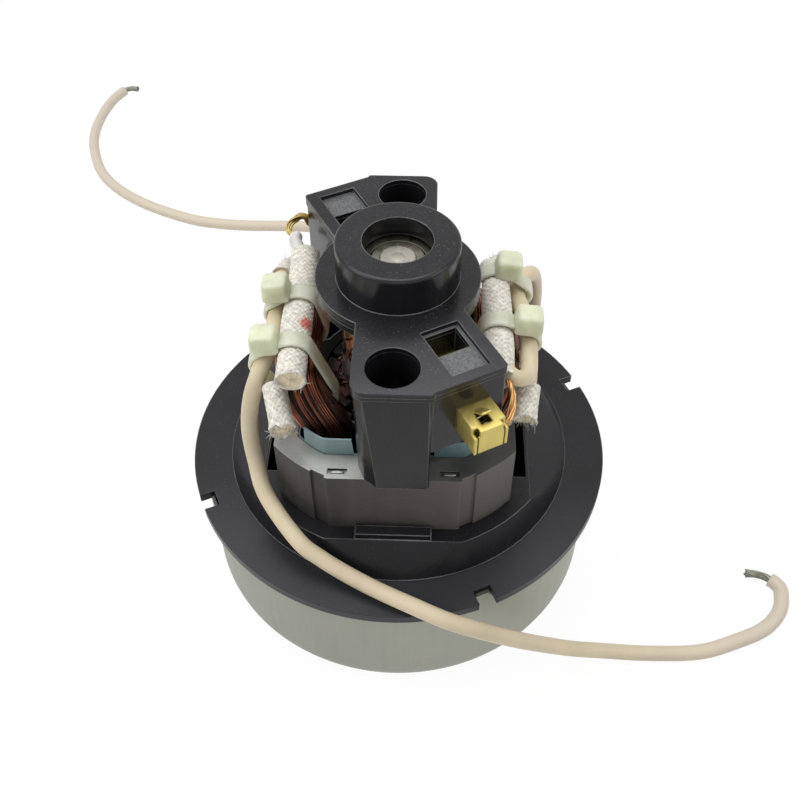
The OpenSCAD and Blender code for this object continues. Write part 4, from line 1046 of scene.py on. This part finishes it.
class MOTOR_OT_sleeves(bpy.types.Operator):
    """Woven glass sleeves over the joints, pinched by the ties"""
    bl_idname = "motor.sleeves"
    bl_label = "Sleeves"

    def execute(self, context):
        set_up = settings("bundle")
        look = glass_yarn()
        half = set_up.sleeve / 2
        x, z, lead_x = SLEEVE_X / MM, SLEEVE_Z / MM, LEAD_X / MM
        end = 0.37 * set_up.sleeve
        left = [[-x - 0.5, 20.4, z], [-x - 0.2, 8, z], [-x + 0.1, -10, z], [-x + 0.4, -23.2, z]]
        right = [[-x + 0.4, -17, z], [-x + 0.2, -6, z], [-x + 0.2, 8, z], [-x + 0.2, 20.8, z]]
        low = [[-x - 4.2, -18.8, z - 6.55], [-x - 2.8, -23.9, z - 8.0], [-x - 1.4, -29, z - 9.55]]
        splice = [
            [-lead_x + 0.7, 17.5, z - 5.55], [-lead_x + 1.15, 21.1, z - 7.3],
            [-lead_x + 1.6, 24.7, z - 9.15]]
        specs = [
            ("left_top", left, half, 0.8 * half, [(17.9, 0.05), (33.8, 0.05)], False, 0.1),
            ("right_top", right, half, 0.8 * half, [(5, 0.05), (22.2, 0.05)], True, 0.3),
            ("left_front", low, 1.08 * end, 1.08 * end, [], False, 0.6),
            ("right_rear", low, end, end, [], True, 0.5),
            ("left_rear", splice, 2.9 * MM, 2.9 * MM, [], False, 0.4),
            ("right_front", splice, 2.9 * MM, 2.9 * MM, [], True, 0.5)]
        for seed, (name, route, wide, thick, pinches, turn, frayed) in enumerate(specs):
            path = smooth_route(MM * np.array(route), 20)
            pinches = [(p * MM, q) for p, q in pinches]
            grid, rise, inside = sleeve_surface(
                path, wide, thick, pinches, set_up.yarns, frayed=frayed * MM, seed=seed)
            down, round_it = np.linspace(0, 1, len(grid))[:, None], np.linspace(0, 360, grid.shape[1])[None]
            red = np.exp(-((down - 0.62) / 0.062) ** 2 - ((round_it - 314) / 44) ** 2)
            red = red * (1 if name == "left_top" else 0)
            loose = 40 if frayed > 0.2 else 10
            hairs = hair_grids(path[-1], path[-1] - path[-2], wide, loose, 1.3 * MM, seed)
            grid, *hairs = on_side([grid, *hairs], turn)
            braid = mesh_object(
                name + "_braid", [grid], yarn_rise=[rise], sleeve_inside=[inside], red_smear=[red])
            dress(braid, look, nodes=[name + "_sleeve"])
            dress(mesh_object(name + "_fibres", hairs), look)
        return {"FINISHED"}


class MOTOR_OT_ties(bpy.types.Operator):
    """Nylon ties drawn round coil, sleeve and lead"""
    bl_idname = "motor.ties"
    bl_label = "Ties"

    def execute(self, context):
        look = green_nylon()
        still = np.zeros(2)
        for name, y, turn, shift in (
                ("left_front", LEFT_TIES[0], False, still), ("left_rear", LEFT_TIES[1], False, still),
                ("right_rear", RIGHT_TIES[0], True, MM * np.array([2.2, 0.7])),
                ("right_front", RIGHT_TIES[1], True, still)):
            route = half_turn(REAR_ROUTE) if turn else FRONT_ROUTE
            grids = on_side(tie_grids(route, y, shift), turn)
            for part, grid in zip(("_tie_band", "_tie_head"), grids):
                piece = mesh_object(name + part, [grid], caps=False)
                dress(piece, look, nodes=[name + "_tie"])
        return {"FINISHED"}


class MOTOR_OT_armature(bpy.types.Operator):
    """Varnished windings of the armature, their wires to the commutator and the shaft's plain end face"""
    bl_idname = "motor.armature"
    bl_label = "Armature windings"

    def execute(self, context):
        look = enamel_copper("varnished_wire", (0.25, 0.07, 0.035))
        # The varnished body under the armature's wires is painted darker than the wires, as shade between
        # them
        shade = dull_body("winding_shade", (0.05, 0.016, 0.01), 0.45)
        low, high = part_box("armature_core")
        wires, tones = armature_heads((low.z, high.z))
        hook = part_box("commutator_bars")[0].z / MM
        rng = np.random.default_rng(5)
        t = np.linspace(0, 1, 16)
        for k in range(BARS):
            a = 2 * np.pi * (k + 0.5 + 0.9 * (1 - t) * rng.uniform(0.6, 1)) / BARS
            r = (12.6 - 1.6 * (1 - t) + 1.3 * np.sin(np.pi * t)) * MM
            z = (hook - 3.4 + 4.6 * t) * MM
            wires.append(tube(round_shaft(r, a, z), 0.3 * MM, 6, (0.9, 0.3, 0.2)))
            tones.append(np.full(16 * 6, rng.uniform(0.4, 1)))
        dress(
            mesh_object("armature_wires", wires, turn_tone=tones), look, "rotor",
            ["armature_winding"])
        top, base = high.z / MM, low.z / MM
        core = [
            turned_profile([
                (5, top), (13.6, top), (13.8, top + 2.5), (11.6, top + 6), (8, top + 9.4), (5, top + 10)]),
            turned_profile([
                (5, base - 6.4), (9, base - 6), (12.4, base - 4), (13.6, base - 2), (13.6, base), (5, base)])]
        for k in range(ARMATURE_SLOTS):
            a = 2 * np.pi * k / ARMATURE_SLOTS
            line = round_shaft(SLOT_AT, np.full(5, a), MM * np.linspace(base - 1.5, top + 1.5, 5))
            core.append(tube(line, SLOT_R, 24, (1, 0, 0)))
        dress(mesh_object("armature_varnish", core), shade, "rotor", ["armature_winding"])
        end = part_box("shaft")[1].z / MM
        face = turned_profile([(1.6, end + 0.01), (1.3, end + 0.05), (0.01, end + 0.06)])
        bright = metal("end_steel", SHAFT_STEEL, 0.4, 0.15)
        dress(mesh_object("shaft_end_face", [face], caps=False), bright, "rotor")
        return {"FINISHED"}


class MOTOR_OT_brush_wires(bpy.types.Operator):
    """Bare copper strands from the sleeves to the brush boxes, with the white tube on the rear one"""
    bl_idname = "motor.brush_wires"
    bl_label = "Brush wires"

    def execute(self, context):
        copper = metal("bare_copper", (0.5, 0.285, 0.115), 0.34)
        brass = metal("brassy_pigtail", (0.4, 0.32, 0.12), 0.36)
        x, z = SLEEVE_X / MM, SLEEVE_Z / MM
        c, d = math.cos(BRUSH_TURN), math.sin(BRUSH_TURN)
        out, across = BOX_LUG
        foot = [out * c - across * d, out * d + across * c, z - 1.65]
        front = MM * np.array([
            [x, -15.5, z], [x + 1.2, -19.5, z], [x + 2.3, -23.2, z - 0.4], [x + 2.5, -26.2, z - 1.7],
            [x + 2.1, -28.6, z - 3],
            [x + 1.4, -30.6, z - 3.4], foot])
        grids = strand_bundle(front, 0.5 * MM, 9, 2, 0.5, 5.0)
        dress(mesh_object("front_wire_strands", grids), copper, nodes=["front_brush_wire"])
        back = MM * np.array([
            [-x - 1, 17.5, z], [-x - 1.8, 20.8, z + 0.4], [-x - 3.2, 23.8, z + 0.6],
            [-x - 3.4, 26.4, z + 0.8],
            [-x - 5.4, 28, z + 0.4], [-x - 5.3, 29.8, z + 1.6], [-x - 3, 32.4, z + 2.2],
            [-x - 1, 34, z - 0.4],
            [-foot[0], -foot[1] + 0.6, foot[2]]])
        curl = strand_bundle(back, 0.6 * MM, 9, 8, 0.6, 11.0)
        dress(mesh_object("rear_wire_strands", curl), brass, nodes=["rear_brush_wire"])
        cover = even_route(smooth_route(back[:4], 14), 40)
        radius = 1.6 * MM * np.r_[np.ones(38), 0.98, 0.9]
        white = dull_body("white_tube", (0.74, 0.72, 0.68), 0.36)
        dress(mesh_object("rear_wire_cover", [tube(cover, radius, 24)]), white)
        return {"FINISHED"}


class MOTOR_OT_springs(bpy.types.Operator):
    """Brush springs, coiled along the length of the solid springs that they stand for"""
    bl_idname = "motor.springs"
    bl_label = "Brush springs"

    def execute(self, context):
        look = metal("spring_steel", settings("finish").steel, 0.3)
        thick, turns = 0.28 * MM, 6
        t = np.linspace(0, 1, 240)
        for name, way in (("front", 1), ("rear", -1)):
            along = way * np.array([math.cos(BRUSH_TURN), math.sin(BRUSH_TURN), 0])
            side = np.array([-along[1], along[0], 0])
            places = np.array([v.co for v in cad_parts[name + "_brush_spring"].data.vertices])
            reach = places @ along
            low, high = reach.min() + thick, reach.max() - thick
            middle = np.array([0, 0, (places[:, 2].min() + places[:, 2].max()) / 2])
            radius = (places[:, 2].max() - places[:, 2].min()) / 2 - thick
            a = 2 * np.pi * turns * t
            path = middle + (low + (high - low) * t)[:, None] * along
            path = path + radius * (np.cos(a)[:, None] * side + np.sin(a)[:, None] * np.array([0, 0, 1]))
            spring = mesh_object(name + "_push_spring", [tube(path, thick, 10, along)])
            dress(spring, look, nodes=[name + "_brush_spring"])
            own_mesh(spring)
        return {"FINISHED"}


class MOTOR_OT_slots(bpy.types.Operator):
    """Film liners in the stator's slots and the bright tongues of its stakes"""
    bl_idname = "motor.slots"
    bl_label = "Slots"

    def execute(self, context):
        film = liner_film()
        for name, turn in (("left", False), ("right", True)):
            sheets = on_side([liner_sheet(False), liner_sheet(True)], turn)
            liner = mesh_object(name + "_liner_film", sheets, wrap_rows=True, sharp=40)
            dress(liner, film, nodes=[name + "_liners"])
        tongues = []
        for way in ((-1, -1), (1, -1), (-1, 1), (1, 1)):
            place = np.array([way[0] * STAKE_X, way[1] * STAKE_Y, CORE_HIGH.z - 0.45 * MM])
            tongues.append(rounded_box((3.1 * MM, 0.95 * MM, 0.7 * MM), 2.6, 12, 24) + place)
        dull = metal("stake_steel", (0.3, 0.3, 0.27), 0.42)
        dress(mesh_object("stake_tongues", tongues, caps=False), dull)
        return {"FINISHED"}


class MOTOR_OT_finishes(bpy.types.Operator):
    """Materials for all the hard pieces"""
    bl_idname = "motor.finishes"
    bl_label = "Finishes"

    def execute(self, context):
        f = settings("finish")
        floor, seam = ARM_TOP - 1.2 * MM, ARM_TOP - 2.3 * MM
        looks = {
            zinc_sheet(): ["fan_case"],
            moulded_black("black_frame", 0.34, 0.2, 0.015, 0.14, 0.0004): ["frame", "diffuser"],
            moulded_black("black_bracket", 0.18, 0.3, 0.045, 0.32, 0.0004, floor, seam): ["end_bracket"],
            stack_steel("stator_stack", f.stack, f.stack_top): ["stator_core"],
            stack_steel("armature_stack", f.stack, f.stack_top): ["armature_core"],
            metal(
                "brass_sheet", f.brass, 0.42, 0.07, 0.0007, 0.8, 0.02): ["front_brush_box",
                "rear_brush_box"],
            metal("plain_steel", f.steel, 0.34): [
                "bracket_screws", "low_bearing_outer", "low_bearing_inner", "top_bearing_balls",
                "low_bearing_balls",
                "impeller_spacer", "impeller_washer", "impeller_nut", "front_brush_spring",
                "rear_brush_spring"],
            metal("oiled_steel", (0.17, 0.16, 0.13), 0.36): [
                "top_bearing_outer", "top_bearing_inner", "bearing_washer"],
            metal("shaft_steel", SHAFT_STEEL, 0.4, 0.15): ["shaft"],
            metal("impeller_sheet", (0.5, 0.5, 0.49), 0.45): [
                "impeller_back", "impeller_blades", "impeller_front"],
            metal("bar_copper", (0.55, 0.26, 0.13), 0.3): ["commutator_bars"],
            dull_body("phenolic", (0.035, 0.026, 0.02), 0.5): ["commutator_hub"],
            dull_body("carbon", (0.02, 0.02, 0.021), 0.45): ["front_brush", "rear_brush"],
            dull_body("end_disc", (0.1, 0.022, 0.013), 0.45): ["armature_ends"],
            dull_body("hidden_wire", (0.2, 0.05, 0.02), 0.4): [
                "left_liners", "right_liners", "armature_winding", "front_brush_wire", "rear_brush_wire",
                "left_field_coil", "right_field_coil"],
            dull_body("hidden_white", (0.7, 0.66, 0.6), 0.6): [
                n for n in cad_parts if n.endswith(("_sleeve", "_tie", "_lead", "_lead_tip"))]}
        for look, nodes in looks.items():
            for name in nodes:
                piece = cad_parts[name]
                piece.data.materials.clear()
                piece.data.materials.append(look)
        return {"FINISHED"}


class MOTOR_OT_stage(bpy.types.Operator):
    """Pale floor, studio lights and the camera"""
    bl_idname = "motor.stage"
    bl_label = "Stage"

    def execute(self, context):
        scene = context.scene
        set_up = settings("stage")
        world = bpy.data.worlds.new("studio")
        world.use_nodes = True
        tree = world.node_tree
        seen = seen_straight(tree)
        back = tree.nodes["Background"]
        tree.links.new(mix_colour(tree, seen, (0.2, 0.203, 0.21, 1), WHITE), back.inputs["Color"])
        scene.world = world

        floor_mesh = bpy.data.meshes.new("floor")
        floor_mesh.from_pydata([(-4, -4, 0), (4, -4, 0), (4, 4, 0), (-4, 4, 0)], [], [(0, 1, 2, 3)])
        floor = bpy.data.objects.new("floor", floor_mesh)
        scene.collection.objects.link(floor)
        look, tree, shader = new_material("white_floor", Base_Color=(0.9, 0.9, 0.9, 1), Roughness=0.8)
        glow = add(tree, "Emission", {"Color": WHITE, "Strength": 1.02}).outputs[0]
        share = times(tree, seen_straight(tree), 0.93)
        mixed = add(tree, "MixShader", {0: share, 1: shader.outputs[0], 2: glow}).outputs[0]
        tree.links.new(mixed, tree.nodes["Material Output"].inputs["Surface"])
        floor_mesh.materials.append(look)

        for name, place, size, power in (
                ("left_box", (-0.62, -0.2, 0.62), 0.55, 3.0), ("right_box", (0.66, -0.15, 0.55), 0.5, 1.9),
                ("top_box", (-0.1, 0.25, 0.95), 0.7, 5.2), ("front_box", (0.05, -0.8, 0.6), 0.5, 0.4)):
            light = bpy.data.lights.new(name, "AREA")
            light.shape, light.size, light.energy = "SQUARE", size, power
            lamp = bpy.data.objects.new(name, light)
            turn = (LIGHT_TARGET - Vector(place)).to_track_quat("-Z", "Y").to_matrix().to_4x4()
            lamp.matrix_world = Matrix.Translation(place) @ turn
            scene.collection.objects.link(lamp)

        eye = bpy.data.cameras.new("photo_view")
        eye.lens, eye.sensor_width = set_up.lens, SENSOR
        eye.shift_x, eye.shift_y = VIEW_SHIFT
        eye.clip_start, eye.clip_end = 0.01, 20.0
        camera = bpy.data.objects.new("photo_view", eye)
        up, round_it = set_up.elevation, set_up.azimuth
        flat = math.cos(up)
        away = Vector((flat * math.sin(round_it), -flat * math.cos(round_it), math.sin(up)))
        turn = (-away).to_track_quat("-Z", "Y").to_matrix().to_4x4() @ Matrix.Rotation(set_up.roll, 4, "Z")
        camera.matrix_world = Matrix.Translation(VIEW_TARGET + set_up.distance * away) @ turn
        scene.collection.objects.link(camera)
        scene.camera = camera
        scene.view_settings.view_transform = "Standard"
        return {"FINISHED"}


class MOTOR_PT_panel(bpy.types.Panel):
    """Settings and steps of the motor unit"""
    bl_idname = "MOTOR_PT_panel"
    bl_label = "Vacuum motor unit"
    bl_space_type = "VIEW_3D"
    bl_region_type = "UI"
    bl_category = "Motor"

    def draw(self, context):
        for name, group in SETTINGS.items():
            box = self.layout.box()
            box.label(text=group.__doc__)
            for key in group.__annotations__:
                box.prop(getattr(context.scene, name), key)
        for step in STEPS:
            self.layout.operator(step.bl_idname)


STEPS = (
    MOTOR_OT_stage, MOTOR_OT_finishes, MOTOR_OT_leads, MOTOR_OT_coils, MOTOR_OT_sleeves, MOTOR_OT_ties,
    MOTOR_OT_armature,
    MOTOR_OT_brush_wires, MOTOR_OT_springs, MOTOR_OT_slots)
CLASSES = (*SETTINGS.values(), *STEPS, MOTOR_PT_panel)


def register():
    for item in CLASSES:
        bpy.utils.register_class(item)
    for name, group in SETTINGS.items():
        setattr(bpy.types.Scene, name, PointerProperty(type=group))


def unregister():
    for name in SETTINGS:
        delattr(bpy.types.Scene, name)
    for item in reversed(CLASSES):
        bpy.utils.unregister_class(item)


def main():
    register()
    for build in (dust_group, edge_group, grain_group):
        build()
    for step in STEPS:
        group, name = step.bl_idname.split(".")
        getattr(getattr(bpy.ops, group), name)()


if __name__ == "__main__":
    main()
